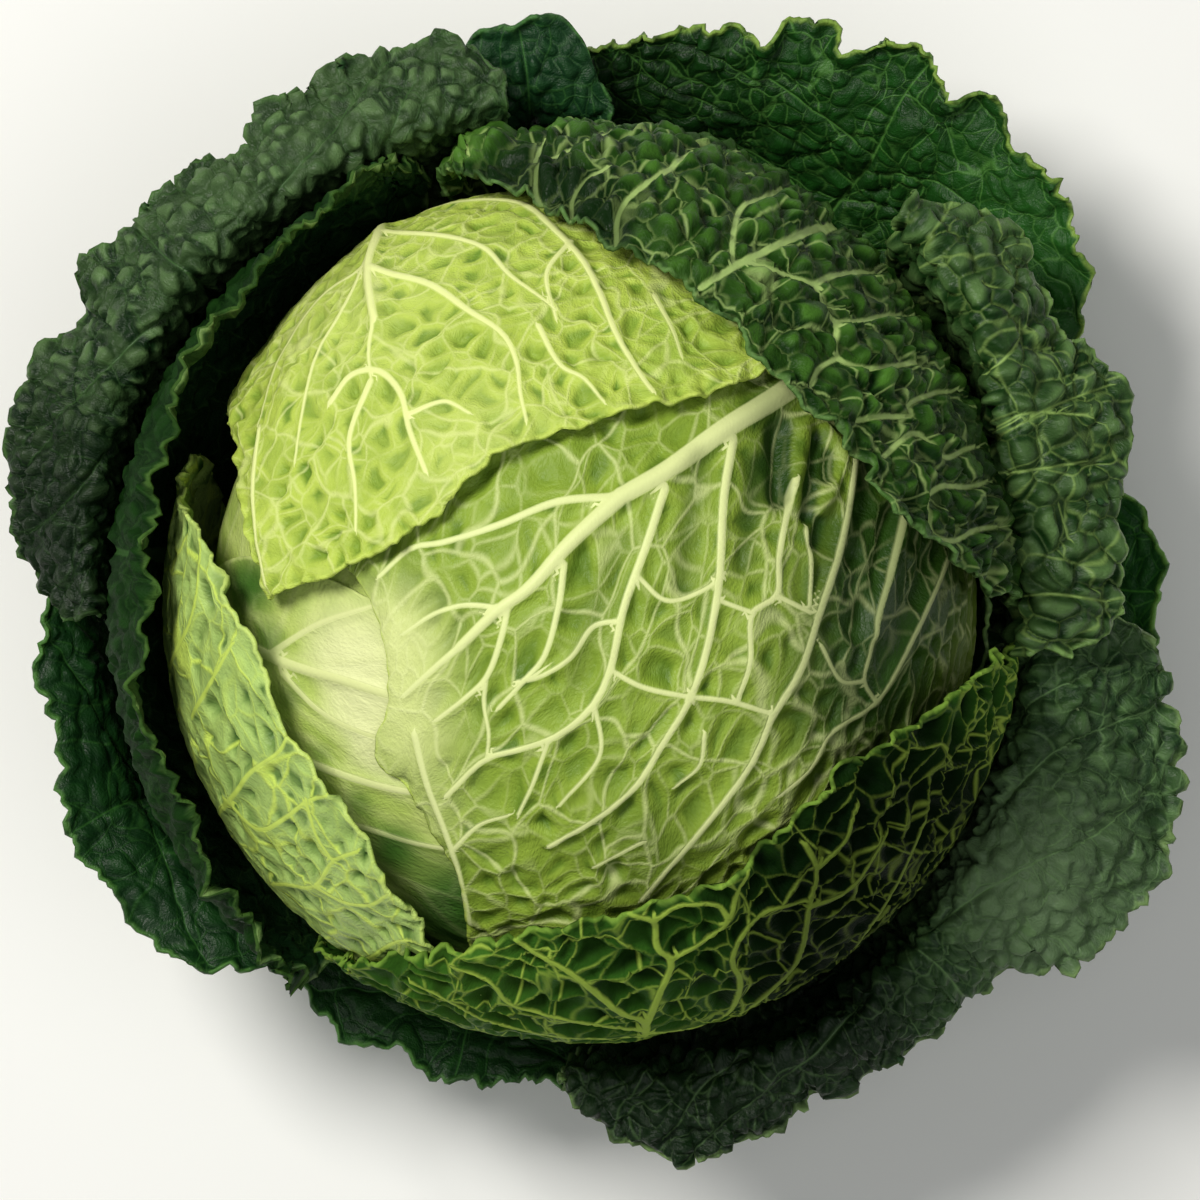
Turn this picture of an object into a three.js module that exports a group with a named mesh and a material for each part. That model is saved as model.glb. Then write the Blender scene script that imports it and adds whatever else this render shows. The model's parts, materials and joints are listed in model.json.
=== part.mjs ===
// A savoy cabbage as cut from the field: a round head of crinkled leaves wrapped over one
// another, a ring of loose outer leaves round it, and the cut stump that it stands on.
// Millimetres, +Z up. The origin is the centre of the stump's cut face.
//
// Every leaf is a thin closed blade. The head leaves lie in layers on an ovoid, and a place
// on them is given as [azimuth, drop]: the compass direction from +X and the angle down from
// the crown, both in degrees. The loose leaves rise from the stump, climb the side of the
// head to a crest and end at a rim, and their crest and rim are given as
// [azimuth, reach, height]: degrees, then the distance from the axis and the height.

import * as THREE from 'three';

// Driving dimensions.
const HEART_RADIUS = 81;
const HEART_HALF_HEIGHT = 71;
const HEART_CENTRE = 97;
const BLADE = 2;
const FIRST_LAYER = 1.6;
const LAYER_PITCH = 3.4;
const BASE_DROP = 165;
const PETIOLE_HALF_ANGLE = 17;
const STUMP_RADIUS = 18;
const STUMP_NECK = 14;
const STUMP_GAP = 0.5;
const LOOSE_START = 22;

const DEGREE = Math.PI / 180;

const LIME = { color: 0xb4d057, roughness: 0.45 };
const LEAF_GREEN = { color: 0x8fae47, roughness: 0.45 };
const DARK_GREEN = { color: 0x2f5d35, roughness: 0.5 };
const DEEP_GREEN = { color: 0x1d4424, roughness: 0.55 };
const STEM_WHITE = { color: 0xd9dcab, roughness: 0.6 };

// The head leaves, from the inside out. `base` is the azimuth where the leaf leaves the
// stump, `left` and `right` its side margins from base to corner, and `end` its free margin
// from the left corner to the right one.
const HEAD_LEAVES = [
  {
    name: 'head_leaf_centre',
    colour: LEAF_GREEN,
    base: 45,
    layer: 0,
    rows: 15,
    columns: 11,
    left: [[22, 140], [0, 118], [-13, 100], [-24, 86], [-42, 76], [-67, 72], [-90, 71]],
    end: [[-108, 70], [-111, 58], [-116, 48], [-126, 43], [-135, 40], [-143, 41], [-155, 33],
      [-168, 31], [-182, 33], [-192, 40], [-200, 52]],
    right: [[70, 140], [85, 115], [100, 90], [115, 74], [135, 66], [148, 60]],
  },
  {
    name: 'head_leaf_upper_left',
    colour: LIME,
    base: 118,
    layer: 1,
    rows: 13,
    columns: 11,
    bulge: { azimuth: 115, spread: 26, amount: 4 },
    left: [[96, 140], [84, 112], [73, 85], [60, 62]],
    end: [[50, 48], [61, 35], [74, 29], [99, 24], [121, 24], [154, 25], [172, 36], [179, 50]],
    right: [[137, 140], [147, 112], [151, 88], [155, 70], [164, 60]],
  },
  {
    name: 'wrapper_leaf_right',
    colour: DEEP_GREEN,
    base: 33,
    layer: 1,
    rows: 7,
    columns: 8,
    left: [[12, 145], [-6, 125], [-13, 110]],
    end: [[-12, 99], [-5, 93], [10, 88], [30, 80], [48, 76], [60, 79], [66, 90]],
    right: [[50, 145], [62, 125], [67, 107]],
  },
  {
    name: 'head_leaf_left',
    colour: LIME,
    base: 205,
    layer: 2,
    rows: 9,
    columns: 10,
    left: [[181, 142], [166, 118], [159, 102]],
    end: [[159, 90], [170, 65], [178, 56], [186, 51], [201, 49], [219, 49], [238, 56], [255, 72]],
    right: [[231, 142], [248, 115], [257, 92]],
  },
  {
    name: 'head_leaf_folded',
    colour: DARK_GREEN,
    base: 56,
    layer: 2,
    rows: 11,
    columns: 11,
    bulge: { azimuth: 84, spread: 30, amount: 15 },
    left: [[30, 145], [10, 120], [0, 96]],
    end: [[1, 70], [7, 57], [15, 50], [28, 47], [45, 45], [58, 45], [71, 48], [84, 53], [94, 66],
      [99, 77], [107, 92]],
    right: [[85, 145], [103, 124], [109, 108]],
  },
  {
    name: 'head_leaf_bottom',
    colour: DARK_GREEN,
    base: 278,
    layer: 3,
    rows: 9,
    columns: 13,
    left: [[248, 145], [235, 120], [231, 104]],
    end: [[232, 92], [238, 72], [247, 58], [262, 47], [281, 43], [300, 43], [318, 42], [334, 46],
      [345, 56], [354, 72]],
    right: [[312, 145], [340, 120], [354, 96]],
  },
  {
    name: 'wrapper_leaf_left',
    colour: DEEP_GREEN,
    base: 172,
    layer: 4,
    rows: 8,
    columns: 11,
    flare: 5,
    left: [[140, 145], [119, 122], [110, 105]],
    end: [[111, 93], [115, 83], [126, 76], [140, 72], [158, 69], [175, 68], [192, 68], [206, 70],
      [219, 75], [230, 84], [233, 94]],
    right: [[204, 145], [226, 122], [234, 107]],
  },
];

// The loose leaves. `tier` 0 leaves the stump highest, `span` is the leaf's azimuth range,
// and `wall` is how far the leaf stands out between the stump and its crest.
const TIER_PATHS = [
  [[LOOSE_START, 10], [45, 15.5], [70, 31]],
  [[LOOSE_START, 7], [45, 12], [71, 27]],
  [[LOOSE_START, 4], [45, 7.5], [72, 20]],
];

const LOOSE_LEAVES = [
  {
    name: 'outer_leaf_upper_left',
    colour: DARK_GREEN,
    base: 139,
    tier: 0,
    span: [99, 181],
    wall: 6,
    crest: [[99, 110, 98], [140, 112, 106], [181, 107, 98]],
    rim: [[99, 127, 91], [119, 127, 93], [133, 128, 94], [147, 132, 92], [159, 130, 90],
      [170, 128, 88], [181, 119, 87]],
  },
  {
    name: 'outer_leaf_right',
    colour: DARK_GREEN,
    base: 22,
    tier: 0,
    span: [-6, 51],
    wall: 6,
    crest: [[-6, 97, 98], [17, 97, 104], [27, 101, 106], [35, 106, 106], [51, 110, 100]],
    rim: [[-6, 117, 90], [11, 116, 92], [21, 126, 92], [29, 121, 93], [42, 122, 92], [51, 117, 90]],
  },
  {
    name: 'outer_leaf_lower_left',
    colour: DEEP_GREEN,
    base: 204,
    tier: 1,
    span: [175, 232],
    wall: 6,
    crest: [[175, 108, 72], [203, 110, 74], [232, 96, 68]],
    rim: [[175, 122, 80], [186, 119, 82], [203, 124, 82], [212, 122, 80], [223, 117, 78],
      [232, 102, 74]],
  },
  {
    name: 'outer_leaf_lower_right',
    colour: DARK_GREEN,
    base: 312,
    tier: 1,
    span: [267, 361],
    wall: 6,
    crest: [[267, 104, 76], [296, 108, 84], [321, 104, 88], [361, 98, 84]],
    rim: [[267, 108, 72], [276, 121, 74], [288, 124, 74], [304, 121, 74], [316, 123, 74],
      [326, 136, 72], [335, 142, 70], [345, 137, 70], [361, 123, 74]],
  },
  {
    name: 'small_leaf_top',
    colour: DEEP_GREEN,
    base: 97,
    tier: 1,
    span: [87, 106],
    wall: 4,
    crest: [[87, 106, 71], [97, 112, 74], [106, 108, 71]],
    rim: [[87, 118, 74], [91, 128, 79], [97, 131, 80], [101, 129, 79], [106, 118, 74]],
  },
  {
    name: 'outer_leaf_upper_right',
    colour: DARK_GREEN,
    base: 60,
    tier: 2,
    span: [20, 95],
    wall: 4,
    crest: [[20, 104, 52], [50, 124, 60], [75, 114, 58], [95, 106, 49]],
    rim: [[20, 121, 58], [33, 134, 64], [47, 142, 70], [60, 144, 72], [71, 138, 72], [80, 130, 70],
      [95, 120, 64]],
  },
  {
    name: 'outer_leaf_bottom',
    colour: DEEP_GREEN,
    base: 252,
    tier: 2,
    span: [227, 282],
    wall: 2,
    crest: [[227, 92, 42], [252, 97, 45], [282, 94, 42]],
    rim: [[227, 100, 48], [240, 110, 51], [254, 110, 52], [268, 107, 50], [282, 102, 47]],
  },
  {
    name: 'rear_leaf_right',
    colour: DEEP_GREEN,
    base: 3,
    tier: 2,
    span: [-13, 17],
    wall: 3,
    crest: [[-13, 100, 46], [3, 112, 50], [17, 102, 46]],
    rim: [[-13, 116, 52], [-4, 127, 57], [4, 131, 60], [10, 126, 58], [17, 114, 54]],
  },
];

const LOOSE_ROWS = 10;
const LOOSE_COLUMN_WIDTH = 7.5;

// A smooth line through hand-placed points, read at a fraction of its length.
function smoothLine(points) {
  const knots = points.map(([x, y]) => new THREE.Vector3(x, y, 0));
  return new THREE.CatmullRomCurve3(knots, false, 'centripetal');
}

// The value of a list of [azimuth, a, b] at one azimuth, eased between its entries.
function atAzimuth(list, azimuth, column) {
  const last = list.length - 1;
  if (azimuth <= list[0][0]) return list[0][column];
  if (azimuth >= list[last][0]) return list[last][column];
  const next = list.findIndex((entry) => entry[0] > azimuth);
  const before = list[next - 1];
  const after = list[next];
  const fraction = (azimuth - before[0]) / (after[0] - before[0]);
  return before[column] + (after[column] - before[column]) * fraction;
}

function angleBetween(a, b) {
  return Math.abs(((a - b + 540) % 360) - 180);
}

// A place on the head as the leaf's own angles: how far off its midline, and how far along
// it, counted from the crown towards the tip.
function leafAngles([azimuth, drop], base) {
  const level = Math.sin(drop * DEGREE);
  const along = -level * Math.cos((azimuth - base) * DEGREE);
  const across = level * Math.sin((azimuth - base) * DEGREE);
  const up = Math.cos(drop * DEGREE);
  return [Math.asin(across) / DEGREE, Math.atan2(along, up) / DEGREE];
}

// A point on a head leaf, `depth` above the blade's inner face.
function headPoint(leaf, across, along, depth, reach) {
  const sweep = Math.cos(across * DEGREE);
  const up = sweep * Math.cos(along * DEGREE);
  const forward = -sweep * Math.sin(along * DEGREE);
  const sideways = Math.sin(across * DEGREE);
  const heading = leaf.base * DEGREE;
  const x = forward * Math.cos(heading) - sideways * Math.sin(heading);
  const y = forward * Math.sin(heading) + sideways * Math.cos(heading);
  let offset = FIRST_LAYER + leaf.layer * LAYER_PITCH + depth;
  if (leaf.bulge) {
    const away = angleBetween(Math.atan2(y, x) / DEGREE, leaf.bulge.azimuth) / leaf.bulge.spread;
    const level = Math.hypot(x, y);
    offset += leaf.bulge.amount * Math.exp(-away * away) * level * level * level;
  }
  if (leaf.flare) {
    offset += leaf.flare * reach * reach * reach;
  }
  return new THREE.Vector3(
    (HEART_RADIUS + offset) * x,
    (HEART_RADIUS + offset) * y,
    HEART_CENTRE + (HEART_HALF_HEIGHT + offset) * up,
  );
}

// The blade of a head leaf spans between its four margins as a Coons patch.
function headLeafPlaces(leaf) {
  const leftBase = [leaf.base - PETIOLE_HALF_ANGLE, BASE_DROP];
  const rightBase = [leaf.base + PETIOLE_HALF_ANGLE, BASE_DROP];
  const angles = (place) => leafAngles(place, leaf.base);
  const farLeft = leaf.end[0];
  const farRight = leaf.end[leaf.end.length - 1];
  const left = smoothLine([leftBase, ...leaf.left, farLeft].map(angles));
  const right = smoothLine([rightBase, ...leaf.right, farRight].map(angles));
  const near = smoothLine([leftBase, rightBase].map(angles));
  const end = smoothLine(leaf.end.map(angles));
  return (s, t, depth) => {
    const a = near.getPointAt(s).multiplyScalar(1 - t).addScaledVector(end.getPointAt(s), t);
    const b = left.getPointAt(t).multiplyScalar(1 - s).addScaledVector(right.getPointAt(t), s);
    const c = near.getPointAt(0).multiplyScalar((1 - s) * (1 - t));
    c.addScaledVector(near.getPointAt(1), s * (1 - t));
    c.addScaledVector(end.getPointAt(0), (1 - s) * t);
    c.addScaledVector(end.getPointAt(1), s * t);
    const place = a.add(b).sub(c);
    return headPoint(leaf, place.x, place.y, depth, t);
  };
}

// The path of a loose leaf at one azimuth: from the stump, up the head's side, over the
// crest and out to the rim, in the plane of [distance from the axis, height].
function loosePath(leaf, azimuth) {
  const start = TIER_PATHS[leaf.tier];
  const crest = [atAzimuth(leaf.crest, azimuth, 1), atAzimuth(leaf.crest, azimuth, 2)];
  const rim = [atAzimuth(leaf.rim, azimuth, 1), atAzimuth(leaf.rim, azimuth, 2)];
  const foot = start[2];
  const wall = [
    foot[0] + 0.62 * (crest[0] - foot[0]) + leaf.wall,
    foot[1] + 0.5 * (crest[1] - foot[1]),
  ];
  return smoothLine([...start, wall, crest, rim]);
}

function looseLeafPlaces(leaf) {
  const [first, last] = leaf.span;
  return (s, t, depth) => {
    const fan = THREE.MathUtils.smoothstep(t, 0.1, 0.78);
    const low = THREE.MathUtils.lerp(leaf.base - PETIOLE_HALF_ANGLE, first, fan);
    const high = THREE.MathUtils.lerp(leaf.base + PETIOLE_HALF_ANGLE, last, fan);
    const azimuth = low + (high - low) * s;
    const path = loosePath(leaf, azimuth);
    const point = path.getPoint(t);
    const heading = path.getTangent(t);
    const reach = point.x + heading.y * (BLADE - depth);
    const height = point.y - heading.x * (BLADE - depth);
    return new THREE.Vector3(
      reach * Math.cos(azimuth * DEGREE),
      reach * Math.sin(azimuth * DEGREE),
      height,
    );
  };
}

// A closed blade: an inner and an outer sheet of the same grid, joined round their margin.
function bladeGeometry(places, rows, columns) {
  const vertices = [];
  const triangles = [];
  const across = columns + 1;
  const sheet = across * (rows + 1);
  for (const depth of [0, BLADE]) {
    for (let row = 0; row <= rows; row += 1) {
      for (let column = 0; column <= columns; column += 1) {
        const point = places(column / columns, row / rows, depth);
        vertices.push(point.x, point.y, point.z);
      }
    }
  }
  const quad = (a, b, c, d) => triangles.push(a, b, c, a, c, d);
  for (let row = 0; row < rows; row += 1) {
    for (let column = 0; column < columns; column += 1) {
      const a = row * across + column;
      const b = a + 1;
      const c = b + across;
      const d = a + across;
      quad(a, b, c, d);
      quad(sheet + a, sheet + d, sheet + c, sheet + b);
    }
  }
  for (let column = 0; column < columns; column += 1) {
    const near = column;
    const far = rows * across + column;
    quad(near, sheet + near, sheet + near + 1, near + 1);
    quad(far, far + 1, sheet + far + 1, sheet + far);
  }
  for (let row = 0; row < rows; row += 1) {
    const low = row * across;
    const high = low + columns;
    quad(low, low + across, sheet + low + across, sheet + low);
    quad(high, sheet + high, sheet + high + across, high + across);
  }
  const geometry = new THREE.BufferGeometry();
  geometry.setAttribute('position', new THREE.Float32BufferAttribute(vertices, 3));
  geometry.setIndex(facesOutward(vertices, triangles) ? triangles : triangles.reverse());
  geometry.computeVertexNormals();
  return geometry;
}

// A closed body whose faces point outward has a positive volume.
function facesOutward(vertices, triangles) {
  const corner = (index) => new THREE.Vector3().fromArray(vertices, index * 3);
  let volume = 0;
  for (let i = 0; i < triangles.length; i += 3) {
    const a = corner(triangles[i]);
    const b = corner(triangles[i + 1]);
    const c = corner(triangles[i + 2]);
    volume += a.dot(b.cross(c));
  }
  return volume > 0;
}

// The heart: the packed inner leaves, grown as one tight ovoid.
function heartGeometry() {
  const heart = new THREE.SphereGeometry(1, 28, 16);
  heart.rotateX(Math.PI / 2);
  heart.scale(HEART_RADIUS, HEART_RADIUS, HEART_HALF_HEIGHT);
  heart.translate(0, 0, HEART_CENTRE);
  return heart;
}

// The stump: a short thick stem, cut flat below and narrowing into the head.
function stumpGeometry() {
  const top = HEART_CENTRE - HEART_HALF_HEIGHT - STUMP_GAP;
  const profile = [
    [0, 0],
    [STUMP_RADIUS - 0.6, 0],
    [STUMP_RADIUS, 0.8],
    [STUMP_RADIUS + 0.6, 6],
    [STUMP_RADIUS, 13],
    [STUMP_RADIUS - 1.5, 18],
    [STUMP_NECK, top],
    [0, top],
  ];
  const points = profile.map(([radius, height]) => new THREE.Vector2(radius, height));
  const stump = new THREE.LatheGeometry(points, 28);
  stump.rotateX(Math.PI / 2);
  return stump;
}

function subpart(name, geometry, look) {
  const material = new THREE.MeshStandardMaterial({ ...look, metalness: 0 });
  const mesh = new THREE.Mesh(geometry, material);
  mesh.name = name;
  return mesh;
}

const cabbage = new THREE.Group();
cabbage.add(subpart('stump', stumpGeometry(), STEM_WHITE));
cabbage.add(subpart('heart', heartGeometry(), LEAF_GREEN));
for (const leaf of HEAD_LEAVES) {
  const blade = bladeGeometry(headLeafPlaces(leaf), leaf.rows, leaf.columns);
  cabbage.add(subpart(leaf.name, blade, leaf.colour));
}
for (const leaf of LOOSE_LEAVES) {
  const widest = Math.max(...leaf.rim.map((entry) => entry[1]));
  const width = widest * (leaf.span[1] - leaf.span[0]) * DEGREE;
  const columns = Math.max(4, Math.ceil(width / LOOSE_COLUMN_WIDTH / 2));
  const blade = bladeGeometry(looseLeafPlaces(leaf), LOOSE_ROWS, columns);
  cabbage.add(subpart(leaf.name, blade, leaf.colour));
}

export default cabbage;
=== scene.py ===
import json
import math

import bpy
import numpy as np
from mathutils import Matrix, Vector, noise

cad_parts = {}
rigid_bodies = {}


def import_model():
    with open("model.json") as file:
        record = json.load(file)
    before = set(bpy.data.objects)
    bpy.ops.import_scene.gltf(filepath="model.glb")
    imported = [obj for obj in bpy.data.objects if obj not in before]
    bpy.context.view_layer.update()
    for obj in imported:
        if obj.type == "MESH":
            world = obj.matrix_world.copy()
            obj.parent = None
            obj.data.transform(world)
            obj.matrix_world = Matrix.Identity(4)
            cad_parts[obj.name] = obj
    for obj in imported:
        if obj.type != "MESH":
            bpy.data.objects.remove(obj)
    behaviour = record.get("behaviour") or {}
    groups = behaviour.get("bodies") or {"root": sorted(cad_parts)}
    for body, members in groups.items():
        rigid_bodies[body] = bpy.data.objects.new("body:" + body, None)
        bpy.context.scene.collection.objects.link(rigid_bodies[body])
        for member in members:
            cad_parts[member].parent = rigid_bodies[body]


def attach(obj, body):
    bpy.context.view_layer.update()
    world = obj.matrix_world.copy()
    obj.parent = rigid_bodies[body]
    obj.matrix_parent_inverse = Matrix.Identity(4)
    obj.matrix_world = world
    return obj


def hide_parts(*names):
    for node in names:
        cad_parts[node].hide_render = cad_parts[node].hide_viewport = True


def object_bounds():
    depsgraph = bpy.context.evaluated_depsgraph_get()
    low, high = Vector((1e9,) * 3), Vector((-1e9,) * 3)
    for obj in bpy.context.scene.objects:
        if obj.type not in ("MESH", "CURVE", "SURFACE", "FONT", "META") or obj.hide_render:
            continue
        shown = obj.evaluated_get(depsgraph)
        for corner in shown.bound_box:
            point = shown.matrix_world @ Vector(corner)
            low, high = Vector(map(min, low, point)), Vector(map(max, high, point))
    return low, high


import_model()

cad_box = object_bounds()
floor_height = cad_box[0].z


# ---- Camera, floor and lights -------------------------------------------------------------
# The camera hangs high over the crown on a long lens and looks straight down. A pale floor
# lies under the stump, a soft key light stands high at the upper left, and a wide weak panel
# fills the shadows.

camera = bpy.data.objects.new("camera", bpy.data.cameras.new("camera"))
bpy.context.scene.collection.objects.link(camera)
camera.location = (0.0032, 0.0011, 2.1)
camera.rotation_euler = (0, 0, 0)
camera.data.lens = 278
camera.data.sensor_width = 36
camera.data.clip_end = 30
bpy.context.scene.camera = camera

bpy.ops.object.select_all(action="DESELECT")
bpy.ops.mesh.primitive_plane_add(size=8, location=(0, 0, floor_height))
floor = bpy.context.object
floor.name = "floor"
paper = bpy.data.materials.new("white_paper")
paper.use_nodes = True
paper_shader = paper.node_tree.nodes["Principled BSDF"]
paper_shader.inputs["Base Color"].default_value = (0.93, 0.93, 0.92, 1)
paper_shader.inputs["Roughness"].default_value = 0.9
floor.data.materials.append(paper)


HEAD_MIDDLE = (0.0, 0.0, 0.09)


def panel(name, place, size, watts, colour, shine):
    """A round soft light that faces the head of the cabbage."""
    data = bpy.data.lights.new(name, "AREA")
    data.shape = "DISK"
    data.size = size
    data.energy = watts
    data.color = colour
    data.specular_factor = shine
    light = bpy.data.objects.new(name, data)
    bpy.context.scene.collection.objects.link(light)
    light.location = place
    towards = np.array(HEAD_MIDDLE) - np.array(place)
    pitch = math.atan2(math.hypot(towards[0], towards[1]), -towards[2])
    light.rotation_euler = (pitch, 0, math.atan2(-towards[0], towards[1]))


panel("key", (-0.74, 0.6, 1.6), 0.6, 28, (1.0, 0.98, 0.92), 1.0)
panel("fill", (0.5, -0.4, 1.9), 1.8, 10, (0.98, 1.0, 0.97), 0.1)

world = bpy.data.worlds.new("studio")
world.use_nodes = True
world.node_tree.nodes["Background"].inputs["Color"].default_value = (1, 1, 1, 1)
world.node_tree.nodes["Background"].inputs["Strength"].default_value = 0.16
bpy.context.scene.world = world
bpy.context.scene.view_settings.view_transform = "Standard"


# ---- Centre leaf of the head --------------------------------------------------------------
# The big pale leaf that wraps right over the crown, back side out: a thick tapering midrib
# comes over the shoulder at the upper right, and long side ribs run down from it across
# shallow hollows. It grows from the stump and is held down by the leaves wrapped over it.

MM = 0.001
HEART_RADIUS = 81 * MM
HEART_HALF_HEIGHT = 71 * MM
HEART_CENTRE = 97 * MM
BLADE = 2 * MM
FIRST_LAYER = 1.6 * MM
LAYER_PITCH = 3.4 * MM
BASE_DROP = 165
PETIOLE_HALF_ANGLE = 17


def curve_between(before, start, end, after, fraction):
    """Centripetal Catmull-Rom stretch from start to end, on arrays of points."""
    first, middle, last = (
        np.maximum(np.linalg.norm(b - a, axis=-1, keepdims=True), 1e-9) ** 0.5
        for a, b in ((before, start), (start, end), (end, after))
    )
    leave = (start - before) / first - (end - before) / (first + middle) + (end - start) / middle
    arrive = (end - start) / middle - (after - start) / (middle + last) + (after - end) / last
    leave, arrive = leave * middle, arrive * middle
    bend = 2 * (start - end) + leave + arrive
    slope = 3 * (end - start) - 2 * leave - arrive
    return start + fraction * (leave + fraction * (slope + fraction * bend))


def smooth_line(points, fractions):
    """Points at fractions of the length of a smooth line through given points."""
    knots = np.array(points, float)
    knots = np.vstack([2 * knots[0] - knots[1], knots, 2 * knots[-1] - knots[-2]])
    steps = np.linspace(0, 1, 24, endpoint=False)[:, None]
    stretches = [
        curve_between(*(knot[None] for knot in knots[i : i + 4]), steps)
        for i in range(len(knots) - 3)
    ]
    dense = np.vstack(stretches + [knots[-2:-1]])
    length = np.concatenate([[0], np.cumsum(np.linalg.norm(np.diff(dense, axis=0), axis=1))])
    return np.stack([np.interp(fractions, length / length[-1], row) for row in dense.T], -1)


def eased(low, high, value):
    """0 below low, 1 above high, smooth between."""
    fraction = np.clip((value - low) / (high - low), 0, 1)
    return fraction * fraction * (3 - 2 * fraction)


def rough(points, scale, seed):
    """Smooth noise from -1 to 1 at each point, with features of about 1 / scale."""
    flat = points.reshape(-1, points.shape[-1]) * scale + seed * 17.3
    if flat.shape[1] == 1:
        flat = np.pad(flat, ((0, 0), (0, 2)), constant_values=0.37)
    return np.array([noise.noise(tuple(point)) for point in flat]).reshape(points.shape[:-1])


def leaf_angles(places, base):
    """Places on the head, [azimuth, drop], as angles off and along the leaf's midline."""
    azimuth, drop = np.radians(np.array(places, float).T)
    turn = azimuth - math.radians(base)
    across = np.arcsin(np.sin(drop) * np.sin(turn))
    along = np.arctan2(-np.sin(drop) * np.cos(turn), np.cos(drop))
    return np.degrees(np.stack([across, along], -1))


def toothed(line, spacing, depth, seed):
    """Gives a margin line, in degrees, small irregular teeth, and none at its two ends."""
    count = len(line)
    run = np.linspace(0, 1, count)
    tangent = np.gradient(line, axis=0)
    outward = np.stack([-tangent[:, 1], tangent[:, 0]], -1)
    outward /= np.maximum(np.linalg.norm(outward, axis=1, keepdims=True), 1e-9)
    reach = np.linalg.norm(np.diff(line, axis=0), axis=1).sum()
    teeth = rough(run[:, None], reach / spacing, seed)
    teeth += 0.6 * rough(run[:, None], 2.6 * reach / spacing, seed + 1)
    ends = eased(0, 0.04, run) * eased(0, 0.04, 1 - run)
    return line + outward * (teeth * depth * ends)[:, None]


def head_place(base, layer, left, end, right, bulge=None, flare=0, teeth=(5, 0.5), seed=1):
    """The surface of a head leaf: maps its own (s, t) grid to places on the ovoid."""
    left_base = [base - PETIOLE_HALF_ANGLE, BASE_DROP]
    right_base = [base + PETIOLE_HALF_ANGLE, BASE_DROP]
    left_line = leaf_angles([left_base, *left, end[0]], base)
    right_line = leaf_angles([right_base, *right, end[-1]], base)
    near_line = leaf_angles([left_base, right_base], base)
    end_line = leaf_angles(end, base)

    def place(s, t):
        run = s[0] if s.ndim == 2 else s
        climb = t[:, 0] if t.ndim == 2 else t
        near = smooth_line(near_line, run)
        far = toothed(smooth_line(end_line, run), teeth[0], teeth[1], seed)
        low = smooth_line(left_line, climb)
        high = smooth_line(right_line, climb)
        side, up = s[..., None], t[..., None]
        if s.ndim == 2:
            near, far = near[None], far[None]
            low, high = low[:, None], high[:, None]
        corners = (1 - side) * (1 - up) * near_line[0] + side * (1 - up) * near_line[-1]
        corners = corners + (1 - side) * up * end_line[0] + side * up * end_line[-1]
        angles = (1 - up) * near + up * far + (1 - side) * low + side * high - corners
        across, along = np.radians(angles[..., 0]), np.radians(angles[..., 1])
        forward = -np.cos(across) * np.sin(along)
        sideways = np.sin(across)
        heading = math.radians(base)
        x = forward * math.cos(heading) - sideways * math.sin(heading)
        y = forward * math.sin(heading) + sideways * math.cos(heading)
        z = np.cos(across) * np.cos(along)
        offset = FIRST_LAYER + layer * LAYER_PITCH + BLADE + np.zeros_like(x)
        if bulge:
            away = np.degrees(np.arctan2(y, x)) - bulge["azimuth"]
            away = (np.abs((away + 540) % 360 - 180)) / bulge["spread"]
            offset += bulge["amount"] * MM * np.exp(-away * away) * np.hypot(x, y) ** 3
        offset += flare * MM * t**3
        flat = HEART_RADIUS + offset
        return np.stack([flat * x, flat * y, HEART_CENTRE + (HEART_HALF_HEIGHT + offset) * z], -1)

    return place


def feed(node, inputs):
    """Gives each input of a node a value, or links a socket to it."""
    for key, value in inputs.items():
        if isinstance(value, bpy.types.NodeSocket):
            node.id_data.links.new(value, node.inputs[key])
        else:
            node.inputs[key].default_value = value


def add_node(tree, kind, inputs=(), **settings):
    """Adds a node with its own settings, then feeds its inputs."""
    node = tree.nodes.new(kind)
    for key, value in settings.items():
        setattr(node, key, value)
    feed(node, dict(inputs))
    return node


BROAD_NET = 0.4


def cell_reader():
    """Modifier tree that stores, on each vertex, how far it is from the vein net's lines."""
    tree = bpy.data.node_groups.new("read_vein_net", "GeometryNodeTree")
    for way in ("INPUT", "OUTPUT"):
        tree.interface.new_socket("Geometry", in_out=way, socket_type="NodeSocketGeometry")
    place = add_node(tree, "GeometryNodeInputNamedAttribute", {"Name": "net_place"},
                     data_type="FLOAT_VECTOR")
    last = add_node(tree, "NodeGroupInput").outputs[0]
    for name, scale in (("fine_cell", 1.0), ("broad_cell", BROAD_NET)):
        cells = add_node(tree, "ShaderNodeTexVoronoi",
                         {"Scale": scale, "Vector": place.outputs[0]}, feature="DISTANCE_TO_EDGE")
        store = add_node(tree, "GeometryNodeStoreNamedAttribute",
                         {"Name": name, "Geometry": last, "Value": cells.outputs["Distance"]},
                         data_type="FLOAT", domain="POINT")
        last = store.outputs["Geometry"]
    add_node(tree, "NodeGroupOutput", {0: last})
    return tree


vein_net = cell_reader()


RIB_STEPS = 26
FAR = 1.0
LOOK_WITHIN = 2.5 * MM
TOP_SKIN = 9 * MM
TELL_SIDES_WITHIN = 6 * MM
LEAST_HALF_WIDTH = 0.85 * MM


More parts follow.
